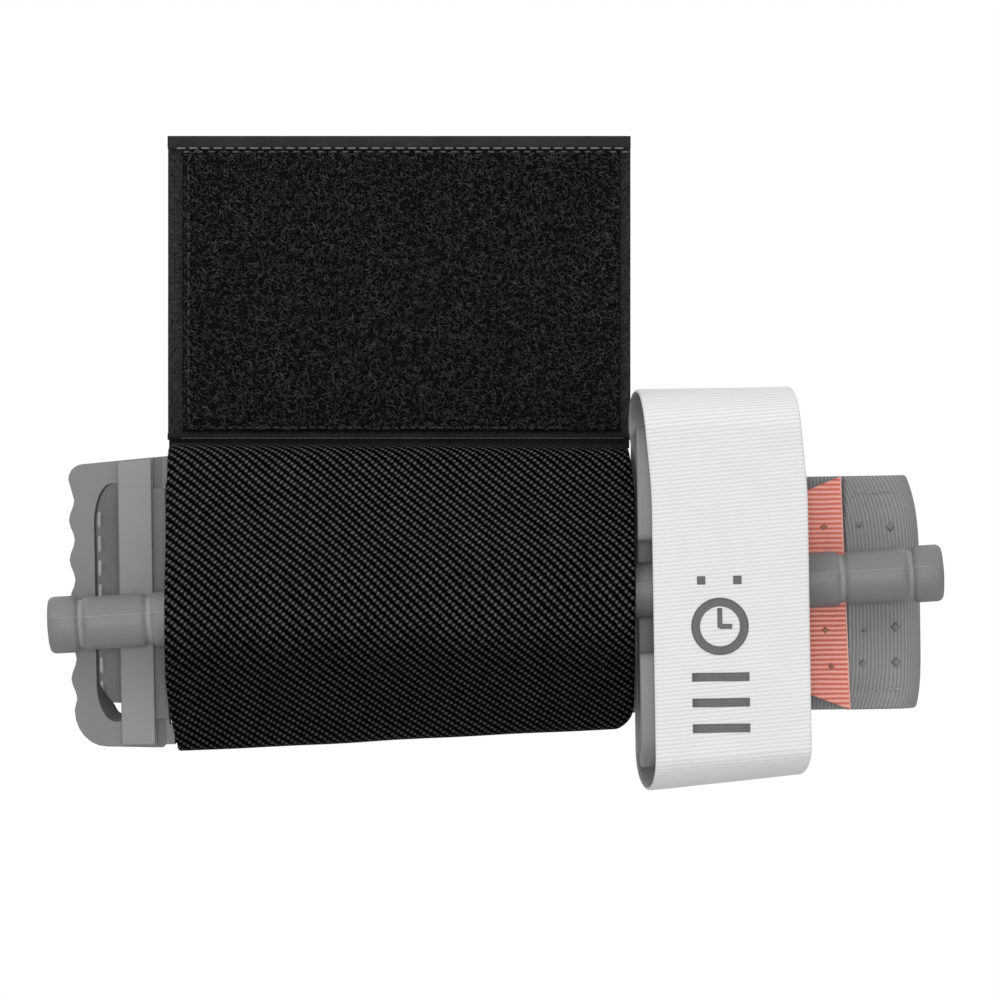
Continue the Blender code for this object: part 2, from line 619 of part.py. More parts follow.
def build_buckle(base_hinge, axis):
    """The frame with its slot, its cover and its pin."""
    frame = prism(buckle_outline(), BUCKLE_FRONT, BUCKLE_BACK, "Y")
    buckle = add_object("buckle_frame", frame, MATERIALS["plastic"], base_hinge, axis)
    slot_back = BUCKLE_BACK + CUT_THROUGH
    slot = prism(slot_outline(), BUCKLE_FRONT - CUT_THROUGH, slot_back, "Y")
    for v in slot.verts:
        if v.co.y > BUCKLE_BACK and v.co.z < SLOT_LEDGE_FROM:
            v.co.z += SLOT_LEDGE * (v.co.z - SLOT_LEDGE_FROM) / (SLOT_BOTTOM - SLOT_LEDGE_FROM)
    apply_boolean(buckle, cutter("buckle_slot", slot, base_hinge, axis), "DIFFERENCE")
    left, right = CHANNEL
    low = (left, BUCKLE_FRONT - CUT_THROUGH, BUCKLE_BOTTOM - CUT_THROUGH)
    channel = block(low, (right, BUCKLE_FRONT + CHANNEL_DEPTH, BUCKLE_TOP + CUT_THROUGH))
    apply_boolean(buckle, cutter("buckle_channel", channel, base_hinge, axis), "DIFFERENCE")
    bore = cylinder(PIN_RADIUS + GAP, PIN_HALF_LENGTH + GAP, 20)
    apply_boolean(buckle, cutter("pin_bore", bore, base_hinge), "DIFFERENCE")

    cover_back = BUCKLE_FRONT - GAP
    slope = (BUCKLE_TOP - BUCKLE_TOP_LEFT) / (UPPER_SHOULDER - BUCKLE_LEFT - BUCKLE_TOP_CORNER)
    top = BUCKLE_TOP - COVER_INSET
    foot = BUCKLE_BOTTOM_LEFT + COVER_INSET
    cover_corners = [
        (COVER_LEFT, foot, COVER_RADIUS),
        (COVER_RIGHT, foot, COVER_RADIUS),
        (COVER_RIGHT, top - slope * (UPPER_SHOULDER - COVER_RIGHT), COVER_RADIUS),
        (COVER_LEFT, top - slope * (UPPER_SHOULDER - COVER_LEFT), COVER_RADIUS),
    ]
    cover = prism(rounded(cover_corners), cover_back - COVER_THICKNESS, cover_back, "Y")
    add_object("buckle_cover", cover, MATERIALS["plastic_light"], base_hinge, axis)
    pin = add_object("buckle_pin", cylinder(PIN_RADIUS, PIN_HALF_LENGTH, 20), MATERIALS["steel"], base_hinge)
    pin.data.shade_smooth()
    pin.data.set_sharp_from_angle(angle=math.radians(40))


def build_prongs(hinge, axis):
    """The sprung plate with its prongs, and its leaf spring."""
    back = BUCKLE_FRONT + PRONG_THICKNESS
    plate = block((PRONG_LEFT, BUCKLE_FRONT, -PRONG_HALF_HEIGHT), (PRONG_RIGHT, back, PRONG_HALF_HEIGHT))
    made = add_object("prong_plate", plate, MATERIALS["plastic"], hinge, axis)
    middle = (PRONG_LEFT + PRONG_RIGHT) / 2
    for k, z in enumerate(PRONG_PLACES):
        cone = cylinder(PRONG_RADIUS, (PRONG_LENGTH + PRONG_ROOT) / 2, 12, end_radius=PRONG_RADIUS / 2)
        bmesh.ops.rotate(cone, verts=cone.verts, matrix=Matrix.Rotation(-math.pi / 2, 3, "X"))
        bmesh.ops.translate(cone, verts=cone.verts, vec=(middle + PRONG_OFFSET, back + (PRONG_LENGTH - PRONG_ROOT) / 2, z))
        apply_boolean(made, cutter(f"prong_{k}", cone, hinge, axis), "UNION")
    leaf_front = back + GAP
    low = (PRONG_LEFT + SPRING_MARGIN, leaf_front, -SPRING_HALF_HEIGHT)
    leaf = block(low, (PRONG_RIGHT - SPRING_MARGIN, leaf_front + SPRING_THICKNESS, SPRING_HALF_HEIGHT))
    add_object("prong_spring", leaf, MATERIALS["steel"], hinge, axis)


clear_scene()
MATERIALS = {
    "nylon": material("nylon", (0.030, 0.030, 0.031), 0.85),
    "webbing_black": material("webbing_black", (0.034, 0.034, 0.035), 0.8),
    "loop": material("loop", (0.012, 0.012, 0.012), 0.95),
    "hook": material("hook", (0.020, 0.020, 0.020), 0.6),
    "elastic": material("elastic", (0.018, 0.018, 0.018), 0.8),
    "webbing_grey": material("webbing_grey", (0.21, 0.21, 0.21), 0.8),
    "webbing_red": material("webbing_red", (0.546, 0.223, 0.188), 0.8),
    "plastic": material("plastic", (0.22, 0.22, 0.22), 0.5),
    "plastic_light": material("plastic_light", (0.25, 0.25, 0.25), 0.5),
    "rod": material("rod", (0.22, 0.22, 0.22), 0.4),
    "loop_grey": material("loop_grey", (0.16, 0.16, 0.16), 0.95),
    "hook_grey": material("hook_grey", (0.20, 0.20, 0.20), 0.6),
    "strap_white": material("strap_white", (0.78, 0.78, 0.78), 0.85),
    "steel": material("steel", (0.45, 0.45, 0.46), 0.35, 1.0),
    "cutter": material("cutter", (1.0, 1.0, 1.0), 1.0),
}

build_holder()
sleeve_hinge = empty("sleeve_hinge", SEAM_AXIS)
build_sleeve(sleeve_hinge)

tourniquet = empty("tourniquet", (ROD_CENTRE_X, 0.0, ROD_CENTRE_Z), lean=BELT_LEAN)
build_belt(tourniquet)
build_plate_and_clip(tourniquet)

strap_axis = (0.0, STRAP_FRONT, STRAP_STRAIGHT_TOP)
build_time_strap(tourniquet, empty("time_strap_hinge", strap_axis, tourniquet), strap_axis)

build_windlass(empty("windlass_axle", (ROD_OFFSET, ROD_Y, 0.0), tourniquet, lean=ROD_LEAN))

pin_axis = (PIN_X, PIN_Y, 0.0)
build_buckle(empty("buckle_hinge", pin_axis, tourniquet), pin_axis)

prong_axis = (PRONG_AXIS_X, PRONG_AXIS_Y, 0.0)
build_prongs(empty("prong_hinge", prong_axis, tourniquet), prong_axis)
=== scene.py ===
"""The looks of a stowed windlass tourniquet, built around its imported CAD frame.

Pieces of the tourniquet are drawn in the belt's own frame, in millimetres: x along the belt, y into the
carrier and z up, with the origin at the rod's centre on the mounting plane. Pieces of the holder are drawn
in the row frame, also in millimetres. Both are turned into metres as each mesh is made.
"""

import json
import math

import bmesh
import bpy
import numpy as np
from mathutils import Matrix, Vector


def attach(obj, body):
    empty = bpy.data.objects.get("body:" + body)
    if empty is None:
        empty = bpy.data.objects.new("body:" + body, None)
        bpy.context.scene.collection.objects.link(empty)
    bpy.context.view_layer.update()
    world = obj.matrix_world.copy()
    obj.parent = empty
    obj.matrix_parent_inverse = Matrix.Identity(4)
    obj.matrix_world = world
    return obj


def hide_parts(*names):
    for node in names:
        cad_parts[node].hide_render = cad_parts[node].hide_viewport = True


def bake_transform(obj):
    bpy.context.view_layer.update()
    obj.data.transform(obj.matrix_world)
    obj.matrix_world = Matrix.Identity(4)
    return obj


MM = 0.001

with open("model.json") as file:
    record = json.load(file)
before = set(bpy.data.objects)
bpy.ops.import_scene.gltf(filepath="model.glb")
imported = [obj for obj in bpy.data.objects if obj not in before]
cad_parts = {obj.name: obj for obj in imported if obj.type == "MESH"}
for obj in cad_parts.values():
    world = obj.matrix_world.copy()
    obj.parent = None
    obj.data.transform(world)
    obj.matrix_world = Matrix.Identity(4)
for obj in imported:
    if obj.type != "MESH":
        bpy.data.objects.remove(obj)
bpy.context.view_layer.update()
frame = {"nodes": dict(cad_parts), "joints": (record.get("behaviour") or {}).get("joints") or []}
joints = {joint["name"]: joint for joint in frame["joints"]}

# ---------------------------------------------------------------- frames and boxes

ALONG = np.array(joints["tourniquet_slide"]["axis"], float)
ALONG /= np.linalg.norm(ALONG)
INWARD = np.array([0.0, 1.0, 0.0])
ACROSS = np.cross(ALONG, INWARD)
ROD_CENTRE = np.array(joints["windlass_turn"]["pos_m"], float) / MM
BELT_ORIGIN = ROD_CENTRE * (1, 0, 1)
BELT_AXES = np.stack([ALONG, INWARD, ACROSS])


def from_belt(points):
    """Points of the belt's frame, in the row frame and still in millimetres."""
    return np.asarray(points, float) @ BELT_AXES + BELT_ORIGIN


def to_belt(point):
    """A mesh's own point, in metres in the row frame, in the belt's frame and in millimetres."""
    return (np.array(point) / MM - BELT_ORIGIN) @ BELT_AXES.T


def grid_of(x, y, z):
    """A grid of points from coordinates that fit together as rows and columns."""
    return np.stack(np.broadcast_arrays(x, y, z), axis=-1).astype(float)


def node_points(node):
    """A CAD node's vertices in the row frame, in millimetres."""
    return np.array([v.co for v in frame["nodes"][node].data.vertices], float) / MM


def row_box(node):
    """The lowest and highest corners of a CAD node, in the row frame."""
    points = node_points(node)
    return points.min(0), points.max(0)


def belt_box(node):
    """The lowest and highest corners of a CAD node, in the belt's frame."""
    points = (node_points(node) - BELT_ORIGIN) @ BELT_AXES.T
    return points.min(0), points.max(0)


def long_axis(node):
    """The direction in which a CAD node is longest, pointing to the right."""
    points = node_points(node)
    axis = np.linalg.svd(points - points.mean(0), full_matrices=False)[2][0]
    return axis * np.sign(axis[0])


# ---------------------------------------------------------------- meshes

def arc(centre, radii, start, end, steps):
    """Points of an ellipse's arc between two angles in degrees, both ends included."""
    angles = np.radians(np.linspace(start, end, steps + 1))
    return np.stack([centre[0] + radii[0] * np.cos(angles), centre[1] + radii[1] * np.sin(angles)], axis=1)


def rounded(corners, steps=8):
    """A closed outline from corners (a, b, radius), each rounded by an arc."""
    points = []
    for i, (a, b, radius) in enumerate(corners):
        here = np.array((a, b), float)
        back = np.array(corners[i - 1][:2], float) - here
        ahead = np.array(corners[(i + 1) % len(corners)][:2], float) - here
        back /= np.linalg.norm(back)
        ahead /= np.linalg.norm(ahead)
        half = math.acos(np.clip(back @ ahead, -1, 1)) / 2
        middle = here + (back + ahead) / np.linalg.norm(back + ahead) * radius / math.sin(half)
        start = here + back * radius / math.tan(half) - middle
        end = here + ahead * radius / math.tan(half) - middle
        turn = math.atan2(start[0] * end[1] - start[1] * end[0], start @ end)
        for k in range(steps + 1):
            c, s = math.cos(turn * k / steps), math.sin(turn * k / steps)
            points.append(middle + (start[0] * c - start[1] * s, start[0] * s + start[1] * c))
    return np.array(points)


def distances(path):
    """How far each point of a path is from its start."""
    steps = np.linalg.norm(np.diff(path, axis=0), axis=1)
    return np.concatenate([[0.0], np.cumsum(steps)])


def walked(path, along, at):
    """The places of a path at some distances from its start."""
    return np.stack([np.interp(at, along, path[:, k]) for k in range(path.shape[1])], axis=1)


def resampled(path, count, closed=False):
    """A path again, with evenly spaced points."""
    line = np.vstack([path, path[:1]]) if closed else np.asarray(path, float)
    along = distances(line)
    at = np.linspace(0.0, along[-1], count + 1)[:-1] if closed else np.linspace(0.0, along[-1], count)
    return walked(line, along, at)


def linked(name, data):
    """A new object of some data, in the scene."""
    made = bpy.data.objects.new(name, data)
    bpy.context.scene.collection.objects.link(made)
    return made


def add_mesh(name, points, faces, materials, uv=None, slots=None):
    """An object of points in the row frame in millimetres, with a uv in millimetres for each vertex."""
    mesh = bpy.data.meshes.new(name)
    mesh.from_pydata((np.asarray(points) * MM).tolist(), [], [list(map(int, f)) for f in faces])
    for surface in materials:
        mesh.materials.append(surface)
    if uv is not None:
        corners = np.zeros(len(mesh.loops), np.int32)
        mesh.loops.foreach_get("vertex_index", corners)
        layer = mesh.uv_layers.new(name="UVMap")
        layer.data.foreach_set("uv", np.asarray(uv, np.float32)[corners].ravel())
    if slots is not None:
        mesh.polygons.foreach_set("material_index", np.asarray(slots, np.int32))
    mesh.polygons.foreach_set("use_smooth", [True] * len(mesh.polygons))
    return linked(name, mesh)


def grid_faces(rows, columns, offset, wrap, flip):
    """Quads of a grid of points, row by row."""
    r = np.arange(rows - 1)[:, None]
    c = np.arange(columns if wrap else columns - 1)[None, :]
    n = (c + 1) % columns
    near, far = r * columns, (r + 1) * columns
    quads = np.stack([near + c, near + n, far + n, far + c], axis=-1).reshape(-1, 4) + offset
    return quads[:, ::-1] if flip else quads


def grid_normals(grid, wrap):
    """The unit normal at each point of a grid of points."""
    down = np.gradient(grid, axis=0)
    if wrap:
        across = (np.roll(grid, -1, axis=1) - np.roll(grid, 1, axis=1)) / 2
    else:
        across = np.gradient(grid, axis=1)
    normals = np.cross(down, across)
    return normals / np.maximum(np.linalg.norm(normals, axis=2, keepdims=True), 1e-9)


def lengths(grid, axis):
    """How far each point of a grid is along one of its axes."""
    steps = np.linalg.norm(np.diff(grid, axis=axis), axis=2)
    first = np.zeros_like(np.take(steps, [0], axis=axis))
    return np.cumsum(np.concatenate([first, steps], axis=axis), axis=axis)


def shell(name, grid, thickness, materials, wrap=False, relief=None, two_faced=False, uv=None):
    """Cloth of even thickness around a grid of centre points; its cut edges are rounded.

    grid has shape (rows, columns, 3), and relief raises the outer face. wrap closes the columns to a tube.
    The uv is the distance along the rows and along the columns, unless it is given. With two_faced the
    inner face has the second material.
    """
    rows, columns = grid.shape[:2]
    normals = grid_normals(grid, wrap)
    down = lengths(grid, 0)
    across = lengths(grid, 1)
    edge = np.minimum(down, down[-1:] - down)
    if not wrap:
        edge = np.minimum(edge, np.minimum(across, across[:, -1:] - across))
    half = thickness / 2
    share = np.clip(edge / half, 0.0, 1.0)
    swell = half * np.sqrt(np.clip(1 - (1 - share) ** 2, 0.02, 1.0))
    lift = 0.0 if relief is None else relief * share
    outer = grid + normals * (swell + lift)[..., None]
    inner = grid - normals * swell[..., None]
    points = np.concatenate([outer.reshape(-1, 3), inner.reshape(-1, 3)])
    uv = np.stack([down, across], axis=-1) if uv is None else uv
    uv = uv.reshape(-1, 2)
    count = rows * columns
    faces = [grid_faces(rows, columns, 0, wrap, False), grid_faces(rows, columns, count, wrap, True)]
    inside = [0] * len(faces[0]) + [1 if two_faced else 0] * len(faces[1])
    border = []
    for row, side in ((0, 1), (rows - 1, -1)):
        c = np.arange(columns if wrap else columns - 1)
        n = (c + 1) % columns
        quad = np.stack([row * columns + c, count + row * columns + c, count + row * columns + n,
                         row * columns + n], axis=-1)
        border.append(quad if side < 0 else quad[:, ::-1])
    if not wrap:
        for column, side in ((0, 1), (columns - 1, -1)):
            r = np.arange(rows - 1)
            quad = np.stack([r * columns + column, (r + 1) * columns + column,
                             count + (r + 1) * columns + column, count + r * columns + column], axis=-1)
            border.append(quad if side < 0 else quad[:, ::-1])
    faces += border
    slots = inside + [0] * sum(len(b) for b in border)
    return add_mesh(name, points, np.concatenate(faces), materials, np.concatenate([uv, uv]), slots)


def edged(low, high, step, half):
    """Places from low to high about a step apart, with more of them beside both ends."""
    close = half * np.array([0.0, 0.12, 0.35, 0.65, 1.0])
    count = max(2, int(round((high - low - 2 * half) / step)) + 1)
    middle = np.linspace(low + half, high - half, count)[1:-1]
    return np.concatenate([low + close, middle, high - close[::-1]])


def noise(points, size, seed):
    """Smooth noise from -1 to 1 at points, made of a few waves in seeded directions."""
    random = np.random.default_rng(seed)
    total = np.zeros(points.shape[:-1])
    for _ in range(9):
        direction = random.normal(size=points.shape[-1])
        direction *= math.tau / size / np.linalg.norm(direction) * random.uniform(0.5, 1.6)
        total += np.sin(points @ direction + random.uniform(0, math.tau))
    return total / 4


def tubes(name, paths, radius, sides, surface):
    """One mesh of thin closed tubes, one along each path of shape (points, 3)."""
    points = []
    for path in paths:
        path = np.asarray(path, float)
        ahead = np.gradient(path, axis=0)
        ahead /= np.maximum(np.linalg.norm(ahead, axis=1, keepdims=True), 1e-9)
        aside = np.cross(ahead, (0.31, 0.17, 0.93))
        aside /= np.maximum(np.linalg.norm(aside, axis=1, keepdims=True), 1e-9)
        up = np.cross(ahead, aside)
        turn = np.arange(sides) * math.tau / sides
        ring = np.cos(turn)[None, :, None] * aside[:, None] + np.sin(turn)[None, :, None] * up[:, None]
        points.append((path[:, None] + ring * radius).reshape(-1, 3))
    every = []
    start = 0
    for block in points:
        count = len(block) // sides
        every += grid_faces(count, sides, start, True, False).tolist()
        every.append(list(range(start + sides - 1, start - 1, -1)))
        every.append(list(range(start + (count - 1) * sides, start + count * sides)))
        start += len(block)
    return add_mesh(name, np.concatenate(points), every, [surface])


def stitches(name, path, pitch, length, radius, surface):
    """A row of stitches raised to the front, each an arched thread that dips into the cloth at its ends."""
    path = np.asarray(path, float)
    along = distances(path)
    share = np.linspace(0, 1, 6)
    arch = np.array((0.0, -1.0, 0.0)) * radius * (1.1 * np.sin(share * math.pi)[:, None] - 0.7)
    starts = np.arange(0.3 * pitch, along[-1] - length, pitch)
    paths = [walked(path, along, start + length * share) + arch for start in starts]
    return tubes(name, paths, radius, 6, surface)


# ---------------------------------------------------------------- materials

class Value:
    """A number in a material's node tree, so that a pattern reads as arithmetic."""

    def __init__(self, tree, socket):
        self.tree = tree
        self.socket = socket

    def math(self, operation, *others):
        return fed(self.tree, "ShaderNodeMath", 0, dict(enumerate((self, *others))), operation=operation)

    def __add__(self, other):
        return self.math("ADD", other)

    def __sub__(self, other):
        return self.math("SUBTRACT", other)

    def __mul__(self, other):
        return self.math("MULTIPLY", other)

    def __truediv__(self, other):
        return self.math("DIVIDE", other)

    def wave(self, pitch):
        """From 0 to 1 and back in each pitch."""
        return (self * (math.tau / pitch)).math("COSINE") * 0.5 + 0.5

    def step(self, low, high):
        """Rises smoothly from 0 to 1 between two values."""
        inputs = {"Value": self, "From Min": low, "From Max": high}
        return fed(self.tree, "ShaderNodeMapRange", "Result", inputs, interpolation_type="SMOOTHSTEP")


def fed(tree, kind, output, inputs=None, **settings):
    """An output of a new node, whose inputs are fed with numbers or with the outputs of others."""
    node = tree.nodes.new(kind)
    for name, setting in settings.items():
        setattr(node, name, setting)
    for key, item in (inputs or {}).items():
        if isinstance(item, Value):
            tree.links.new(item.socket, node.inputs[key])
        else:
            node.inputs[key].default_value = item
    return Value(tree, node.outputs[output])


class Surface:
    """A material whose patterns come from the uv or the object's own coordinates, both in millimetres."""

    def __init__(self, name, roughness, metallic=0.0, specular=0.5):
        self.material = bpy.data.materials.new(name)
        self.material.use_nodes = True
        self.tree = self.material.node_tree
        self.shader = self.tree.nodes["Principled BSDF"]
        self.shader.inputs["Roughness"].default_value = roughness
        self.shader.inputs["Metallic"].default_value = metallic
        self.shader.inputs["Specular IOR Level"].default_value = specular

    def place(self, from_uv):
        """Where a point lies: its uv in millimetres, or its place in the object in metres."""
        if from_uv:
            return fed(self.tree, "ShaderNodeUVMap", "UV", uv_map="UVMap")
        return fed(self.tree, "ShaderNodeTexCoord", "Object")

    def uv(self):
        """The two distances along the cloth, in millimetres."""
        place = self.place(True)
        return [fed(self.tree, "ShaderNodeSeparateXYZ", part, {0: place}) for part in "XY"]

    def height(self):
        """The object's own height, in millimetres."""
        return fed(self.tree, "ShaderNodeSeparateXYZ", "Z", {0: self.place(False)}) / MM

    def noise(self, size, detail=2.0, roughness=0.5, from_uv=False):
        """Noise from about 0 to 1 whose features are a size in millimetres."""
        scale = 1 / size if from_uv else 1 / (size * MM)
        inputs = {"Vector": self.place(from_uv), "Scale": scale, "Detail": detail, "Roughness": roughness}
        return fed(self.tree, "ShaderNodeTexNoise", "Fac", inputs)

    def colour(self, amount, *stops):
        """The base colour, from stops (place, colour) along a ramp."""
        ramp = self.tree.nodes.new("ShaderNodeValToRGB")
        self.tree.links.new(amount.socket, ramp.inputs["Fac"])
        elements = ramp.color_ramp.elements
        while len(elements) < len(stops):
            elements.new(0.5)
        for element, (place, colour) in zip(elements, stops):
            element.position = place
            element.color = (*linear(colour), 1.0)
        self.tree.links.new(ramp.outputs["Color"], self.shader.inputs["Base Color"])

    def roughness(self, amount):
        self.tree.links.new(amount.socket, self.shader.inputs["Roughness"])

    def bump(self, height, distance):
        """Bump from a height of 0 to 1 that stands for a distance in millimetres."""
        node = self.tree.nodes.new("ShaderNodeBump")
        node.inputs["Distance"].default_value = distance * MM
        self.tree.links.new(height.socket, node.inputs["Height"])
        self.tree.links.new(node.outputs["Normal"], self.shader.inputs["Normal"])


def linear(colour):
    """A colour given in 0 to 255 as the eye sees it, or a grey as one number, in linear light."""
    if not hasattr(colour, "__len__"):
        colour = (colour, colour, colour)
    shares = [c / 255 for c in colour]
    return [c / 12.92 if c <= 0.04045 else ((c + 0.055) / 1.055) ** 2.4 for c in shares]


def twill_elastic():
    """Black elastic in a three-end twill: round floats in diagonal rows that fall to the right, with painted
    shade on the lower part of the sleeve.
    """
    pitch = 0.525
    made = Surface("twill_elastic", 0.7, specular=0.02)
    along, around = made.uv()
    wander = made.noise(2.6, 1.0, from_uv=True)
    shift = made.noise(0.75, 1.0, 0.5, from_uv=True)
    x = (along + wander * 0.35 + shift * 0.30) / pitch
    y = (wander * 0.30 - around - shift * 0.18) / pitch
    beta = (x - y) / 3
    alpha = (x + y * 2) / 3
    near_beta = beta - beta.math("ROUND")
    near_alpha = alpha - alpha.math("ROUND")
    dx = near_alpha + near_beta * 2
    dy = near_alpha - near_beta
    with_row = (dx + dy) / 1.2
    off_row = (dx - dy) / 1.6
    away = (with_row * with_row + off_row * off_row).math("SQRT")
    float_height = away.step(1.0, 0.1)
    row = near_beta.math("ABSOLUTE").step(0.36, 0.12)
    fibre = made.noise(0.16, 2.0, 0.6, from_uv=True)
    worn = made.noise(5.0, 2.0, 0.6, from_uv=True)
    # Painted shade: below the crease at z -54 to -61 the twill's colour falls to four fifths, where the
    # sleeve turns down away from the light.
    painted_fold_shade = made.height().step(-61.0, -54.0)
    shade = float_height * (fibre * 0.6 + worn * 0.3 + shift * 0.5 + 0.25) * 0.75 + row * 0.2
    made.colour(shade * (painted_fold_shade * 0.2 + 0.8), (0.0, 0), (0.2, 5), (0.55, 46), (1.0, 94))
    made.bump(float_height * 0.8 + row * 0.3 + fibre * 0.1, 0.28)
    return made.material


def woven(name, dark, light, pitch=0.45, distance=0.08, specular=0.06):
    """Plain-woven cloth, from the uv."""
    made = Surface(name, 0.85, specular=specular)
    along, around = made.uv()
    wander = made.noise(3.0, 1.0, from_uv=True)
    checks = (along + wander * 0.3).wave(pitch) * (around + wander * 0.3).wave(pitch * 0.8)
    fibre = made.noise(0.2, 2.0, 0.6, from_uv=True)
    fuzz = made.noise(0.7, 2.0, 0.6, from_uv=True)
    height = checks * 0.4 + fibre * 0.25 + fuzz * 0.35
    made.colour(height, (0.2, dark), (0.75, light))
    made.bump(height, distance)
    return made.material


def napped(name, dark, light):
    """Brushed cloth: short fibres lying every way."""
    made = Surface(name, 0.9, specular=0.02)
    fibre = made.noise(0.45, 2.0, 0.7, from_uv=True)
    tuft = made.noise(1.6, 2.0, 0.6, from_uv=True)
    height = fibre * 0.7 + tuft * 0.3
    made.colour(height, (0.3, dark), (0.7, light))
    made.bump(height, 0.15)
    return made.material


def ribbed(name, dark, light, pitch, along_rows, distance=0.12, mottle=0.25, specular=0.15, wavy=0.25):
    """Webbing with ribs across it; the ribs repeat along the rows or along the columns of its uv."""
    made = Surface(name, 0.8, specular=specular)
    along, around = made.uv()
    across, with_rib = (along, around) if along_rows else (around, along)
    wander = made.noise(4.0, 1.0, from_uv=True)
    rib = (across + wander * wavy).wave(pitch)
    thread = (with_rib + rib * 0.1).wave(pitch * 0.55)
    fibre = made.noise(0.25, 3.0, 0.65, from_uv=True)
    patch = made.noise(7.0, 2.0, 0.5, from_uv=True)
    height = rib * 0.7 + thread * 0.12 + fibre * 0.18
    made.colour(height * (1 - mottle) + patch * mottle, (0.1, dark), (0.85, light))
    made.bump(height, distance)
    return made.material


def moulded(name, grey):
    """Moulded plastic with a fine grain, faint flow marks and scuffs."""
    made = Surface(name, 0.5)
    grain = made.noise(0.35, 3.0, 0.6)
    cloud = made.noise(9.0, 3.0, 0.55)
    scuff = made.noise(1.3, 4.0, 0.75).step(0.63, 0.74)
    marks = cloud * 0.55 + grain * 0.25 + scuff * 0.3
    made.colour(marks, (0.15, grey - 7), (0.6, grey + 3), (1.0, grey + 16))
    made.roughness(grain * 0.12 + scuff * 0.1 + 0.44)
    made.bump(grain * 0.8 + scuff * 0.3, 0.02)
    return made.material


def thread(name, grey):
    """Sewing thread, with a little of its twist."""
    made = Surface(name, 0.7, specular=0.15)
    twist = made.noise(0.22, 2.0, 0.6)
    made.colour(twist, (0.3, grey - 12), (0.7, grey + 12))
    made.bump(twist, 0.03)
    return made.material


def pile(name, dark, light):
    """The fibres of loop cloth, of uneven darkness."""
    made = Surface(name, 0.8, specular=0.03)
    made.colour(made.noise(1.1, 3.0, 0.7), (0.3, dark), (0.75, light))
    return made.material


def metal(name, grey, roughness):
    """Plain steel with faint drawing marks."""
    made = Surface(name, roughness, metallic=1.0)
    marks = made.noise(0.5, 3.0, 0.6)
    made.colour(marks, (0.3, grey - 12), (0.7, grey + 12))
    made.roughness(marks * 0.15 + (roughness - 0.07))
    return made.material


TWILL = twill_elastic()
NAPPED = napped("nylon_napped", 6, 62)
HEM = ribbed("hem_black", 26, 58, 0.34, True, mottle=0.6, distance=0.05, specular=0.05)
SEAM = ribbed("seam_black", 8, 50, 0.3, True, mottle=0.4, distance=0.05, specular=0.03)
BACKING = woven("backing_black", 8, 30, specular=0.02)
PILE = pile("pile_black", 14, 82)
HOOKS = pile("hooks_black", 14, 50)
WEB = ribbed("web_grey", 118, 152, 0.6, True)
WEB_ACROSS = ribbed("web_grey_across", 112, 150, 0.6, False)
# Painted light: a flatter copy of the grey webbing, toned apart from it to offset the shade in the buckle's
# slot; it also lines the red tip.
WEB_FOLD_PAINTED_LIGHT = woven("web_grey_fold_painted_light", 134, 148, pitch=0.5, distance=0.02)
RED = ribbed("web_red", (200, 84, 70), (255, 188, 174), 0.79, False, mottle=0.15, distance=0.08)
RED_CUT = woven("web_red_cut", (214, 160, 150), (236, 192, 184), distance=0.04)
WHITE = ribbed("tape_white", 203, 225, 0.65, False, distance=0.05, mottle=0.1, wavy=0.1)
# Partly painted light: the grey inner face of the time strap, its tone raised to offset the shade of the
# narrow gap where it shows.
LINING_PAINTED_LIGHT = woven("tape_lining_painted_light", 156, 174, pitch=0.5, distance=0.05)
PILE_GREY = pile("pile_grey", 110, 150)
PLASTIC = moulded("plastic_grey", 113)
# Painted light: a lighter copy of the grey plastic for the buckle's cover, whose face catches more of the
# light from above.
COVER_PAINTED_LIGHT_PLASTIC = moulded("plastic_light", 128)
# Painted light: the clip's plastic is toned lighter than the rest of the grey plastic to lift the shade in
# the gap beside the sleeve.
CLIP_PAINTED_LIGHT_PLASTIC = moulded("clip_plastic_painted_light", 126)
# Painted shade: a darker copy of the grey plastic for the floor of the groove beside the buckle's cover.
GROOVE_SHADE_PLASTIC = moulded("channel_plastic_painted_shade", 96)
# Painted shade: a darker copy of the grey plastic for the prong plate, which shows as the shaded strip beside
# the buckle's cover.
PRONG_PLASTIC_PAINTED_SHADE = moulded("prong_plastic_painted_shade", 99)
ROD_PLASTIC = moulded("rod_plastic", 116)
# Painted highlight: a lighter copy of the rod's plastic for its grooves, for the light bands along their
# bevelled sides.
ROD_GROOVE_HIGHLIGHT = moulded("rod_groove_painted_highlight", 134)
# The rod's parting line: a real thin ridge, drawn in a lighter plastic that paints a highlight along it.
ROD_LINE_HIGHLIGHT = moulded("rod_line_painted_highlight", 148)
STEEL = metal("steel", 165, 0.35)
THREAD_DARK = thread("thread_dark", 104)
THREAD_FAINT = thread("thread_faint", 62)
THREAD_DIM = thread("thread_dim", 84)
THREAD_WEB = thread("thread_web", 150)
WEB_TACK = woven("web_tack", 122, 140, distance=0.03)
THREAD_LIGHT = thread("thread_light", 196)
TIP_TACK = woven("tip_tack", (158, 108, 94), (184, 130, 116), distance=0.03)
INK = woven("ink_grey", 98, 114, pitch=0.65, distance=0.03)


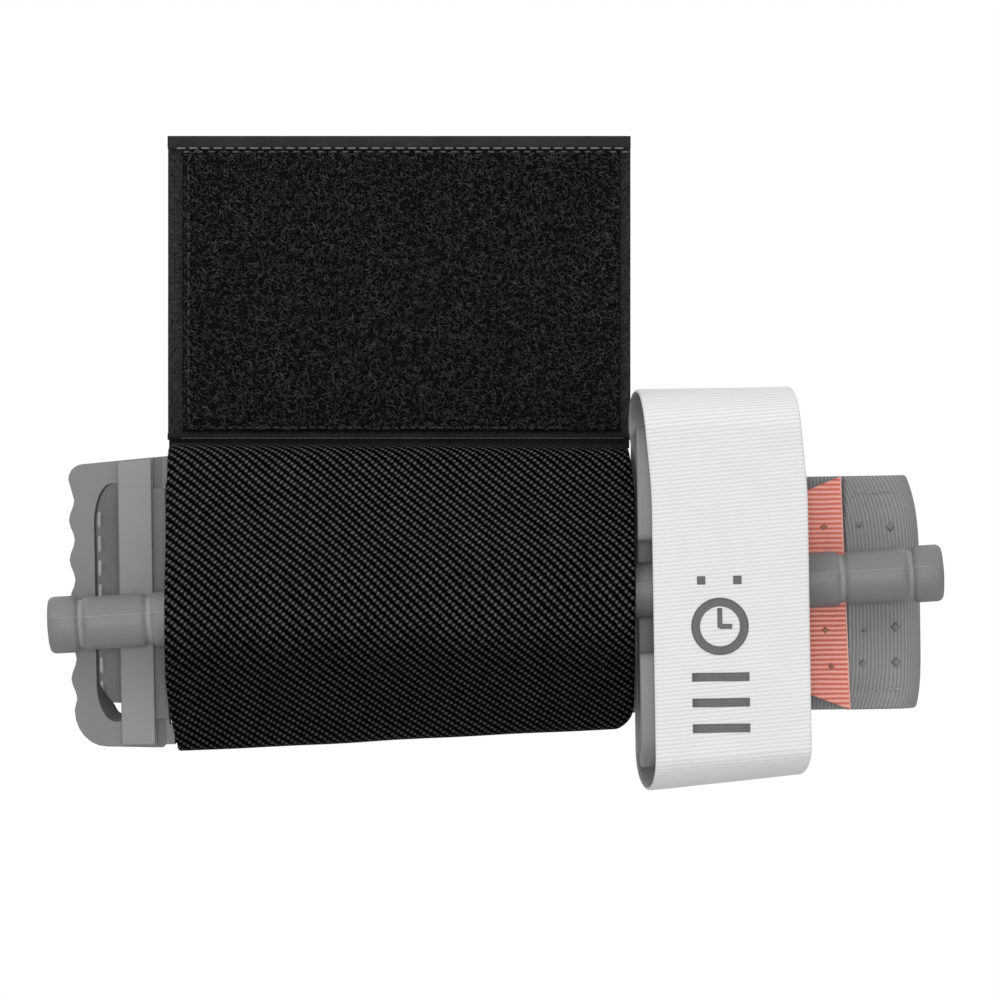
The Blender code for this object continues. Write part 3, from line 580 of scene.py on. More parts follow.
def softened(name, node, surface, width, body, slot):
    """A CAD node's shape with its edges rounded, standing for the node."""
    mesh = frame["nodes"][node].data.copy()
    mesh.name = name
    mesh.materials.clear()
    mesh.materials.append(surface)
    made = linked(name, mesh)
    bm = bmesh.new()
    bm.from_mesh(mesh)
    bmesh.ops.remove_doubles(bm, verts=bm.verts, dist=1e-6)
    bmesh.ops.dissolve_limit(bm, angle_limit=math.radians(1), verts=bm.verts, edges=bm.edges)
    bm.to_mesh(mesh)
    bm.free()
    round_off = made.modifiers.new("Bevel", "BEVEL")
    round_off.width = width * MM
    round_off.segments = 3
    round_off.limit_method = "ANGLE"
    round_off.angle_limit = math.radians(35)
    round_off.harden_normals = True
    mesh.shade_smooth()
    mesh.set_sharp_from_angle(angle=math.radians(35))
    return placed(made, body, slot, node)


def placed(made, body, slot, *nodes):
    """The piece rides on a body and stands for CAD nodes, which it hides; its slot is not used."""
    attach(made, body)
    if nodes:
        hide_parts(*nodes)
    return made


def cloth(made, body, slot, nodes=()):
    if body:
        placed(made, body, slot, *nodes)
    return made


def flat_grid(low, high, y, step, half):
    """A grid of points on an upright plane across a box, rows along x and columns up z."""
    x = edged(low[0], high[0], step, half)
    z = edged(low[2], high[2], step, half)
    return grid_of(x[:, None], y, z[None, :])


# ---------------------------------------------------------------- holder

STITCH_RADIUS = 0.17
SEAM_THREAD = 0.08
PILE_RADIUS = 0.085
PILE_PER_MM2 = 5.0
PILE_INSET = 0.25
CURL_SIZE = 0.62


def curls(name, low, high, y, facing, height, per_mm2, seed, surface, transform=np.asarray):
    """A field of loop pile: small curled fibres that stand on an upright plane and face along facing * y."""
    random = np.random.default_rng(seed)
    count = int((high[0] - low[0]) * (high[1] - low[1]) * per_mm2)
    turn = np.linspace(-0.25 * math.pi, 1.25 * math.pi, 6)
    paths = []
    for _ in range(count):
        x, z = random.uniform(low, high)
        heading = random.uniform(0, math.tau)
        lean = random.uniform(-0.9, 0.9)
        size = CURL_SIZE * height * random.uniform(0.45, 1.0) / 2
        aside = np.array([math.cos(heading), 0.0, math.sin(heading)])
        drift = np.array([-math.sin(heading), 0.0, math.cos(heading)])
        rise = np.array([0.0, facing, 0.0]) + drift * lean
        middle = np.array([x, y + facing * (height * random.uniform(0.2, 1.0) - size), z])
        line = (middle + np.cos(turn)[:, None] * aside * size * random.uniform(0.9, 1.5)
                + np.sin(turn)[:, None] * rise * size + np.linspace(-0.5, 0.5, 6)[:, None] * drift * size)
        line[:, 0] = np.clip(line[:, 0], low[0], high[0])
        line[:, 2] = np.clip(line[:, 2], low[1], high[1])
        paths.append(transform(line))
    return tubes(name, paths, PILE_RADIUS, 3, surface)


def hooks(name, low, high, y, facing, height, pitch, surface, transform=np.asarray):
    """A field of moulded hooks in rows, every other row turned round."""
    paths = []
    columns = np.arange(low[0] + pitch / 2, high[0], pitch)
    for row, z in enumerate(np.arange(low[1] + pitch / 2, high[1], pitch)):
        side = 1 if row % 2 else -1
        for x in columns:
            reach = height * 0.42
            line = np.array([(x, y - 0.05 * facing, z), (x, y + facing * height * 0.55, z),
                             (x + side * reach * 0.3, y + facing * height * 0.95, z),
                             (x + side * reach, y + facing * height * 0.9, z),
                             (x + side * reach * 1.25, y + facing * height * 0.55, z)])
            paths.append(transform(line))
    return tubes(name, paths, 0.13, 4, surface)


def build_flap():
    low, high = row_box("flap_panel")
    thick = high[1] - low[1]
    half = thick / 2
    grid = flat_grid(low, high, (low[1] + high[1]) / 2, 0.8, half)
    grid[..., 1] += 0.12 * noise(grid[..., [0, 2]], 26, 3)
    panel = shell("flap_cloth", grid, thick - 0.1, [NAPPED])

    hem_low, hem_high = row_box("top_hem")
    hem_thick = hem_high[1] - hem_low[1]
    hem_middle = (hem_low[1] + hem_high[1]) / 2
    hem_grid = flat_grid(hem_low, hem_high, hem_middle, 0.5, hem_thick / 2)
    hem_grid[..., 1] += 0.06 * noise(hem_grid[..., [0, 2]], 9, 4)
    hem = placed(shell("hem_cloth", hem_grid, hem_thick, [HEM]), "holder", "webbing_black", "top_hem")

    tape_low, tape_high = row_box("seam_tape")
    tape_thick = tape_high[1] - tape_low[1]
    tape_grid = flat_grid(tape_low, tape_high, (tape_low[1] + tape_high[1]) / 2, 0.4, 0.5)
    tape = placed(shell("seam_cloth", tape_grid, tape_thick, [SEAM]), "holder", "webbing_black", "seam_tape")

    pile_low, pile_high = row_box("loop_field")
    floor = pile_high[1] - 0.8
    backing_grid = flat_grid(pile_low, pile_high, pile_high[1] - 0.4, 0.9, 0.4)
    backing = shell("loop_backing", backing_grid, 0.8, [BACKING])
    field = curls("loop_pile", pile_low[[0, 2]] + PILE_INSET, pile_high[[0, 2]] - PILE_INSET, floor, -1,
                  floor - pile_low[1], PILE_PER_MM2, 11, PILE)
    placed(field, "holder", "loop")

    left, right = pile_low[0] + 1.0, pile_high[0] - 0.4
    top, bottom = pile_high[2] + 0.1, pile_low[2] + 0.6
    front = hem_low[1]
    corner = arc((left + 2.2, top - 2.2), (2.2, 2.2), 180, 90, 6)[::-1]
    down = [(left, z) for z in np.linspace(top - 3.0, bottom + 1.5, 30)]
    side_path = [(x, pile_low[1] + 0.7, z) for x, z in [*corner, *down]]
    seam_thread = [(x, tape_low[1] + 0.05, tape_low[2] + 0.25) for x in (low[0] + 2.0, high[0] - 1.0)]
    over = [(x, front, hem_low[2] + 0.05) for x in (low[0] + 1.0, high[0] - 0.3)]
    under = [(x, front + 0.2, hem_low[2] - 0.55) for x in (low[0] + 2.1, high[0] - 0.3)]
    foot_path = [(x, pile_low[1] + 0.8, bottom) for x in (left + 3.0, right - 8.0)]
    rows = [
        ("hem_stitches", over, 2.0, 1.35, THREAD_DARK),
        ("hem_stitches_under", under, 2.0, 1.1, THREAD_DIM),
        ("seam_stitches", seam_thread, 1.0, 0.9, THREAD_DIM),
        ("field_stitches_side", side_path, 1.6, 1.0, THREAD_FAINT),
        ("field_stitches_foot", foot_path, 1.5, 1.0, THREAD_FAINT),
    ]
    for name, path, pitch, length, surface in rows:
        radius = SEAM_THREAD if name == "seam_stitches" else STITCH_RADIUS
        placed(stitches(name, path, pitch, length, radius, surface), "holder", "webbing_black")
    cloth(backing, "holder", "loop", ["loop_field"])
    cloth(panel, "holder", "nylon", ["flap_panel"])


def build_hook_field():
    low, high = row_box("hook_field")
    floor = low[1] + 0.7
    grid = flat_grid(low, high, low[1] + 0.35, 1.2, 0.35)
    base = shell("hook_backing", grid[:, ::-1], 0.7, [BACKING])
    field = hooks("hook_rows", low[[0, 2]] + 0.4, high[[0, 2]] - 0.4, floor, 1, high[1] - floor, 1.25, HOOKS)
    placed(field, "holder", "hook")
    cloth(base, "holder", "hook", ["hook_field"])


# ---------------------------------------------------------------- sleeve

SLEEVE_CLOTH = 1.1
SLEEVE_SHOULDERS = ((-18.0, -26.0), (-15.8, -26.6))
SLEEVE_FEET = ((-17.8, -75.7), (-14.8, -72.2))
SLEEVE_HEELS = (-76.2, -72.7)
SLEEVE_RADII = (0.8, 6.5, 15.0, 15.0, 3.0, 2.0, 0.8)
CREST_HALF_WIDTH = 4.6
MOUTH_CORNER = 4.2
FOOT_PULL, FOOT_PULL_TOP, FOOT_PULL_SPAN = 1.6, -64.0, 11.0
HEAD_PULL, HEAD_PULL_FOOT, HEAD_PULL_SPAN = 0.9, -34.0, 8.0
PULL_POWER = 1.5


def sleeve_section(share, x, low, high):
    """The sleeve's outline (y, z) at a share of its length: over its front, under and up its back."""
    rod = long_axis("windlass_rod")
    crest = ROD_CENTRE[2] + (x - ROD_CENTRE[0]) * rod[2] / rod[0]
    shoulder, foot = (np.array(pair[0]) * (1 - share) + np.array(pair[1]) * share
                      for pair in (SLEEVE_SHOULDERS, SLEEVE_FEET))
    corners = [
        (SEAM_FRONT, high[2]),
        tuple(shoulder),
        (low[1], crest + CREST_HALF_WIDTH),
        (low[1], crest - CREST_HALF_WIDTH),
        tuple(foot),
        (high[1], SLEEVE_HEELS[0] * (1 - share) + SLEEVE_HEELS[1] * share),
        (high[1], high[2]),
    ]
    return rounded([(y, z, radius) for (y, z), radius in zip(corners, SLEEVE_RADII)], 10)[::-1]


def build_sleeve(seam):
    low, high = row_box("elastic_sleeve")
    half = SLEEVE_CLOTH / 2
    shares = (edged(low[0], high[0], 0.8, half) - low[0]) / (high[0] - low[0])
    rows = []
    for share in shares:
        x = low[0] + share * (high[0] - low[0])
        rows.append(resampled(sleeve_section(share, x, low, high), 300, closed=True))
    section = np.array(rows)
    z = section[..., 1]
    left = low[0] + FOOT_PULL * np.clip((FOOT_PULL_TOP - z) / FOOT_PULL_SPAN, 0, 1) ** PULL_POWER
    right = high[0] - HEAD_PULL * np.clip((z - HEAD_PULL_FOOT) / HEAD_PULL_SPAN, 0, 1) ** PULL_POWER
    above = np.clip(z - z.min(axis=1, keepdims=True), 0, MOUTH_CORNER)
    right = right - MOUTH_CORNER + np.sqrt(MOUTH_CORNER**2 - (MOUTH_CORNER - above) ** 2)
    x = left + shares[:, None] * (right - left)
    grid = np.stack([x, section[..., 0], z], axis=-1)
    normals = grid_normals(grid, True)
    ripple = 0.10 * noise(grid, 17, 8) - 0.05
    grid += normals * (ripple - half)[..., None]
    made = shell("sleeve_cloth", grid, SLEEVE_CLOTH, [TWILL], wrap=True)
    cloth(made, "sleeve", "elastic", ["elastic_sleeve"])


SEAM_CLOTH = 1.2
SEAM_FRONT = -3.4


def build_seam():
    """The strip of elastic that runs up from the sleeve and is sewn behind the flap's lower edge."""
    top = row_box("seam_tape")[1][2] - 0.3
    foot = row_box("elastic_sleeve")[1][2] - 0.9
    y = SEAM_FRONT + SEAM_CLOTH / 2 + 0.15
    flap_low, flap_high = row_box("flap_panel")
    rows = edged(flap_low[0] + 0.2, flap_high[0] - 0.2, 0.9, SEAM_CLOTH / 2)
    grid = grid_of(rows[:, None], y, np.linspace(top, foot, 14))
    made = shell("seam_strip", grid, SEAM_CLOTH, [SEAM])
    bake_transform(made)
    return made


# ---------------------------------------------------------------- time strap

STRAP_RIB = 0.65
STRAP_RELIEF = 0.045
STRAP_CLOTH = 1.0
STRAP_WIDTH = 25.0
CROWN_BACK = -5.2
CROWN_LEAN_FROM = 19.6
CROWN_BEND, CROWN_BEND_FROM = 1.1, 14.0
CROWN_BULGE, CROWN_BULGE_HEIGHTS = 0.3, (24.5, 27.0)
CROWN_SAG = 0.45
FOOT_SLOPE, FOOT_SLOPE_FROM = 2.3, 20.0
MARK_RADIUS = 4.6
MARK_WEIGHT = 1.4
MARK_INSET, MARK_HEIGHT = 14.4, -4.8


def strap_frame():
    """The time strap's sizes in the belt's frame, from its two CAD halves."""
    back_low, back_high = belt_box("time_strap_back")
    front_low, front_high = belt_box("time_strap_front")
    half = STRAP_CLOTH / 2
    return {
        "back": back_high[1] - half,
        "front": front_low[1] + half,
        "top": back_high[2] - half - CROWN_SAG,
        "bottom": min(front_low[2], back_low[2]) + half,
        "fold": front_high[2],
        "foot": belt_box("time_hook_patch")[0][2] - 2.0,
        "left": back_low[0],
        "right": front_high[0],
    }


def eased(value, low, high):
    """Rises smoothly from 0 to 1 between two values."""
    share = np.clip((value - low) / (high - low), 0, 1)
    return share * share * (3 - 2 * share)


def strap_grid(path, size):
    """A grid along a path (y, z); its front lies further right, and its crown bends to the left."""
    rows = edged(0.0, STRAP_WIDTH, 0.9, STRAP_CLOTH / 2)
    y, z = path[:, 0], path[:, 1]
    share = (size["back"] - y) / (size["back"] - size["front"])
    skew = (size["right"] - size["left"] - STRAP_WIDTH) * share
    bend = CROWN_BEND * eased(z, CROWN_BEND_FROM, size["top"]) * (0.4 + 0.6 * share)
    bulge = CROWN_BULGE * eased(z, *CROWN_BULGE_HEIGHTS) * eased(-share, -0.75, -0.3)
    rows = rows[:, None]
    x = size["left"] + rows + (skew - bend) - bulge * (1 - rows / STRAP_WIDTH)
    slope = FOOT_SLOPE * eased(-z, FOOT_SLOPE_FROM, -size["bottom"])
    return grid_of(x, y, z + slope * (rows / STRAP_WIDTH - 0.45))


def build_time_strap():
    size = strap_frame()
    half = (size["back"] - size["front"]) / 2
    middle = size["front"] + half
    crown_half = (CROWN_BACK - size["front"]) / 2
    crown = (size["front"] + crown_half, size["fold"])
    crown_radii = (crown_half, size["top"] - size["fold"])
    foot = (middle, size["foot"])
    foot_radii = (half, size["foot"] - size["bottom"])
    lean = [(size["back"], CROWN_LEAN_FROM), (size["back"] - 0.15, CROWN_LEAN_FROM + 1.0)]
    front_path = np.vstack([arc(foot, foot_radii, 284, 180, 40), arc(crown, crown_radii, 180, 91, 40)])
    back_path = np.vstack([arc(crown, crown_radii, 89, 0, 40), lean[::-1], arc(foot, foot_radii, 0, -72, 40)])
    for name, path, body, node in (
        ("time_strap_cloth", front_path, None, "time_strap_front"),
        ("time_strap_rear", back_path, "tourniquet", "time_strap_back"),
    ):
        path = resampled(path, int(distances(path)[-1] / (STRAP_RIB / 5)) + 1)
        grid = strap_grid(path, size)
        ribs = np.cos(lengths(grid, 1) * math.tau / STRAP_RIB)
        relief = STRAP_RELIEF * (0.5 + 0.5 * ribs) + 0.03 * noise(grid, 7, 21)
        grid = from_belt(grid)
        made = shell(name, grid, STRAP_CLOTH - 0.15, [WHITE, LINING_PAINTED_LIGHT], relief=relief, two_faced=True)
        if body is None:
            across = size["left"] + STRAP_WIDTH / 2
            start = from_belt((across, size["front"], size["fold"] + 2.5)) * MM
            end = from_belt((across, size["front"], size["fold"] - 3.5)) * MM
            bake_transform(made)
            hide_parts(node)
        cloth(made, body, "strap_white", [node] if body else [])
    return size


def ink(name, grid):
    """A printed patch that lies on the front of the time strap."""
    placed(shell(name, from_belt(grid), 0.05, [INK]), "time_flap", "strap_white")


def build_time_mark(size):
    """A generic clock face over write-in bars, where the hour is noted."""
    face = size["front"] - STRAP_CLOTH / 2 - STRAP_RELIEF + 0.04
    centre_x = size["right"] - MARK_INSET

    def bar(name, x, z, wide, high):
        columns = np.linspace(-wide / 2, wide / 2, 6)
        rows = np.linspace(-high / 2, high / 2, 6)
        ink(name, grid_of(centre_x + x + columns[:, None], face, MARK_HEIGHT + z + rows))

    turn = np.linspace(0, math.tau, 97)[:-1]
    radii = np.linspace(MARK_RADIUS - MARK_WEIGHT, MARK_RADIUS, 4)[:, None]
    ring = grid_of(centre_x + radii * np.cos(turn), face, MARK_HEIGHT + radii * np.sin(turn))
    made = shell("mark_ring", from_belt(ring[::-1]), 0.05, [INK], wrap=True)
    placed(made, "time_flap", "strap_white")
    bar("mark_hand_long", 0.0, 1.35, 0.8, 3.2)
    bar("mark_hand_short", 0.95, 0.0, 2.0, 0.8)
    for k, drop in enumerate((8.1, 12.2, 16.3)):
        bar(f"mark_bar_{k}", 0.0, -drop, 2 * MARK_RADIUS, MARK_WEIGHT)
    for k, side in enumerate((-2.9, 2.9)):
        bar(f"mark_dot_{k}", side, 7.4, 1.35, 1.35)


def build_patches():
    """The hook and loop patches under the time strap."""
    low, high = belt_box("time_loop_patch")
    grid = flat_grid(low, high, high[1] - 0.15, 0.8, 0.15)
    made = shell("patch_loop_backing", from_belt(grid), 0.3, [PILE_GREY])
    cloth(made, "tourniquet", "loop_grey", ["time_loop_patch"])
    field = curls("patch_loop_pile", low[[0, 2]] + 0.3, high[[0, 2]] - 0.3, high[1] - 0.3, -1, 0.4, 2.0, 31,
                  PILE_GREY, from_belt)
    placed(field, "tourniquet", "loop_grey")
    low, high = belt_box("time_hook_patch")
    grid = flat_grid(low, high, low[1] + 0.15, 0.8, 0.15)
    made = shell("patch_hook_backing", from_belt(grid), 0.3, [PILE_GREY])
    cloth(made, "time_flap", "hook_grey", ["time_hook_patch"])
    field = hooks("patch_hook_rows", low[[0, 2]] + 0.3, high[[0, 2]] - 0.3, low[1] + 0.3, 1, 0.38, 0.9,
                  PILE_GREY, from_belt)
    placed(field, "time_flap", "hook_grey")


# ---------------------------------------------------------------- belt

BELT_RIB = 0.6
BELT_WEB = 1.4
BELT_GAP = 0.3
WRAP_LENGTH = 6.0
WRAP_BULGE_TOP = 2.4
WRAP_BULGE_FOOT = 1.1
REAR_LIFT_SPAN = (54.5, 61.5)
BELT_SEAM_HEIGHTS = (("belt_stitches_top", 16.4), ("belt_stitches_foot", -15.9))
BELT_LAYERS = 7
FINE_LENGTH = 34.0
HOLE_ROWS = (10.9, 5.3, -0.2, -5.8, -11.4)
HOLE_PITCH = 5.2
HOLE_HALF_WIDTH = 0.8
HOLE_HALF_HEIGHT = 1.15
REAR_LIFT = 2.8
TIP_RIB = 0.79
TIP_CLOTH = 0.7
TIP_NARROW = 13.2
TIP_LEAN = 0.026
TIP_BACK = 0.2
FOLD_FROM = -44.5
FOLD_SEAM_X = -64.85
FOLD_SEAM = (16.2, -17.0)
BELT_TACKS = ((59.2, 11.2), (64.3, 10.6), (60.1, -6.3), (64.9, -5.7), (59.5, -11.5), (64.9, -11.4))
TIP_TACKS = ((53.4, 10.8), (53.4, -6.0), (54.4, -11.9))
TACK_RISE = 0.11
TACK_HALF_WIDTH = 0.8


def belt_path():
    """The folded belt's centre line (x, y), as the CAD folds it, from its fixed end to its free end."""
    low, high = belt_box("outer_band")
    web = BELT_WEB
    pitch = web + BELT_GAP
    rear = high[1] - web / 2
    front = low[1] + web / 2
    first = rear - (BELT_LAYERS - 1) * pitch
    plate_left = belt_box("base_plate")[0][0]
    left = plate_left - 0.5
    wrap = (rear - front) / 2
    right = high[0] - wrap - web / 2 - 0.2
    bend = pitch / 2
    fold = bend + web / 2
    path = [np.array([(left, first)])]
    for layer in range(1, BELT_LAYERS):
        y = first + (layer - 0.5) * pitch
        if layer % 2:
            path.append(arc((right - fold, y), (bend, bend), -90, 90, 12))
        else:
            start = low[0] if layer == BELT_LAYERS - 1 else left
            path.append(arc((start + fold, y), (bend, bend), 270, 90, 12))
    path.append(arc((right + 0.2, (rear + front) / 2), (wrap, wrap), 90, -90, 40))
    free_end = belt_box("red_tip")[1][0] - 0.8
    path.append(np.array([(free_end, front)]))
    return np.vstack(path)


def hole_relief(x, z, columns):
    """Small dents where the belt's holes are, in a lattice of rows and columns."""
    total = np.zeros(np.broadcast(x, z).shape)
    for column in columns:
        for row in HOLE_ROWS:
            away = np.abs(x - column) / HOLE_HALF_WIDTH + np.abs(z - row) / HOLE_HALF_HEIGHT
            total -= np.clip(1 - away, 0, 1)
    return total


def tacks(name, places, rise, surface):
    """Small diamond-shaped tacks on the front of the belt, low in the middle and lower at their rims."""
    points = []
    faces = []
    for x, y, z in places:
        first = len(points)
        points += [(x, y - rise, z)]
        for share, height in ((0.55, rise * 0.9), (1.0, -rise)):
            for k in range(8):
                turn = k * math.tau / 8
                reach = share * (1.0 if k % 2 == 0 else 0.62)
                points.append((x + TACK_HALF_WIDTH * reach * math.cos(turn), y - height,
                               z + TACK_HALF_WIDTH * reach * math.sin(turn)))
        for k in range(8):
            following = (k + 1) % 8
            faces.append((first, first + 1 + k, first + 1 + following))
            faces.append((first + 1 + k, first + 9 + k, first + 9 + following, first + 1 + following))
        faces.append(tuple(first + 9 + k for k in range(7, -1, -1)))
    return add_mesh(name, from_belt(points), faces, [surface])


def belt_stations(path, web):
    """Distances along the belt's path: sparse on hidden straights, close in the folds and at the front."""
    along = distances(path)
    fine_from = along[-1] - FINE_LENGTH
    coarse = [web / 2 * share for share in (0.0, 0.12, 0.35, 0.65)]
    for start, step in zip(along, np.diff(along)):
        count = max(1, int(step / 5.0))
        coarse += [start + step * k / count for k in range(count)]
    coarse = [place for place in sorted(coarse) if place < fine_from - 0.1]
    fine = np.arange(fine_from, along[-1] - web / 2, BELT_RIB / 4)
    tip = along[-1] - web / 2 * np.array([1.0, 0.65, 0.35, 0.12, 0.0])
    at = np.concatenate([coarse, fine, tip])
    return at, walked(path, along, at), eased(at, fine_from, fine_from + 4.0)


def build_belt():
    web = BELT_WEB
    at, line, fine = belt_stations(belt_path(), web)
    low, high = belt_box("outer_band")
    z = edged(low[2], high[2], 0.5, web / 2)[::-1]
    wrap_start = high[0] - WRAP_LENGTH
    bulge = np.clip((line[:, 0] - wrap_start) / WRAP_LENGTH, 0, 1) * fine
    top_share = np.clip(z / high[2], 0, 1)
    foot_share = np.clip(z / low[2], 0, 1)
    x = line[:, :1] - bulge[:, None] * (WRAP_BULGE_TOP * top_share**4 + WRAP_BULGE_FOOT * foot_share**6)
    grid = grid_of(x, line[:, 1:], z + REAR_LIFT * eased(-line[:, :1], *REAR_LIFT_SPAN))
    flat_part = np.clip((wrap_start + 2.5 - line[:, 0]) / 3.0, 0, 1) * fine
    ribs = 0.5 + 0.5 * np.cos(at * math.tau / BELT_RIB)
    relief = np.outer(0.055 * flat_part * ribs, np.ones_like(z))
    first_column = belt_box("red_tip")[1][0] + 1.8
    dents = hole_relief(line[:, :1], z[None, :], (first_column, first_column + HOLE_PITCH))
    relief += 0.24 * dents * fine[:, None]
    made = shell("belt_cloth", from_belt(grid), web - 0.12, [WEB, WEB_FOLD_PAINTED_LIGHT], relief=relief)
    # Faces left of the fold take the webbing copy toned to offset the shade in the slot: painted light.
    for face in made.data.polygons:
        if to_belt(face.center)[0] < FOLD_FROM:
            face.material_index = 1
    cloth(made, "tourniquet", "webbing_grey", ["outer_band"])
    front = low[1] - 0.02
    first, last = belt_box("red_tip")[1][0] + 0.6, wrap_start + 3.0
    for name, height in BELT_SEAM_HEIGHTS:
        path = from_belt([(x, front, height + 0.2 * math.sin(x)) for x in np.linspace(first, last, 24)])
        placed(stitches(name, path, 1.5, 1.05, 0.14, THREAD_WEB), "tourniquet", "webbing_grey")
    rear_front = high[1] - 2 * web - BELT_GAP
    path = from_belt([(FOLD_SEAM_X, rear_front, height) for height in np.linspace(*FOLD_SEAM, 20)])
    row = stitches("fold_stitches", path, 3.97, 2.5, 0.3, THREAD_LIGHT)
    placed(row, "tourniquet", "webbing_grey")
    places = [(x, low[1] + 0.05, z) for x, z in BELT_TACKS]
    placed(tacks("belt_tacks", places, TACK_RISE, WEB_TACK), "tourniquet", "webbing_grey")


def build_red_tip():
    """The red end of the belt, tapered, with its pale cut edge to the right."""
    low, high = belt_box("red_tip")
    x = edged(low[0], high[0], 0.4, TIP_CLOTH / 2)
    share = (x - low[0]) / (high[0] - low[0])
    tall = TIP_NARROW + (high[2] - TIP_NARROW) * share
    across = edged(-1.0, 1.0, TIP_RIB / 6 / high[2], TIP_CLOTH / 2 / high[2])
    grid = grid_of(x[:, None], low[1] + TIP_CLOTH / 2, tall[:, None] * across)
    grid[..., 0] -= TIP_LEAN * (grid[..., 2] + tall.max()) + TIP_BACK
    ribs = 0.5 + 0.5 * np.cos(grid[..., 2] * math.tau / TIP_RIB)
    dents = hole_relief(grid[..., 0], grid[..., 2], (high[0] - 3.9,))
    relief = 0.06 * ribs + 0.14 * dents
    uv = grid[..., [0, 2]]
    made = shell("red_tip_cloth", from_belt(grid), TIP_CLOTH - 0.1, [RED, RED_CUT], relief=relief, uv=uv)
    for face in made.data.polygons:
        x, _, z = to_belt(face.center)
        if x > high[0] - TIP_LEAN * (z + tall.max()) - TIP_BACK - 0.22:
            face.material_index = 1
    places = [(x, low[1] + 0.02, z) for x, z in TIP_TACKS]
    placed(tacks("tip_tacks", places, TACK_RISE, TIP_TACK), "tourniquet", "webbing_red")
    under = grid[:-8] + (0.0, 1.35, 0.0)
    inner = placed(shell("red_tip_lining", from_belt(under), 1.2, [WEB_FOLD_PAINTED_LIGHT]), "tourniquet", "webbing_red")
    cloth(made, "tourniquet", "webbing_red", ["red_tip"])


def build_fixed_loop():
    low, high = belt_box("fixed_end_loop")
    web = 1.2
    radius = (high[1] - low[1]) / 2 - web / 2
    y = (low[1] + high[1]) / 2
    left, right = low[0] + radius + web / 2, high[0] - radius - web / 2
    ends = [arc((x, y), (radius, radius), start, start + 180, 24) for x, start in ((left, 90), (right, -90))]
    path = resampled(np.vstack(ends), 120, closed=True)
    z = edged(low[2], high[2], 0.9, web / 2)
    grid = from_belt(grid_of(path[:, 0], path[:, 1], z[:, None]))
    made = shell("fixed_loop_cloth", grid, web, [WEB_ACROSS], wrap=True)
    cloth(made, "tourniquet", "webbing_grey", ["fixed_end_loop"])


# ---------------------------------------------------------------- windlass

HEAD_LENGTH = 4.5
GROOVE_LENGTH = 1.6
BARREL_LENGTH = 9.4
PARTING_LINE = math.radians(285)
ROD_SIDES = 120
ROD_SLOT = (10.9, 1.0, 9.0)


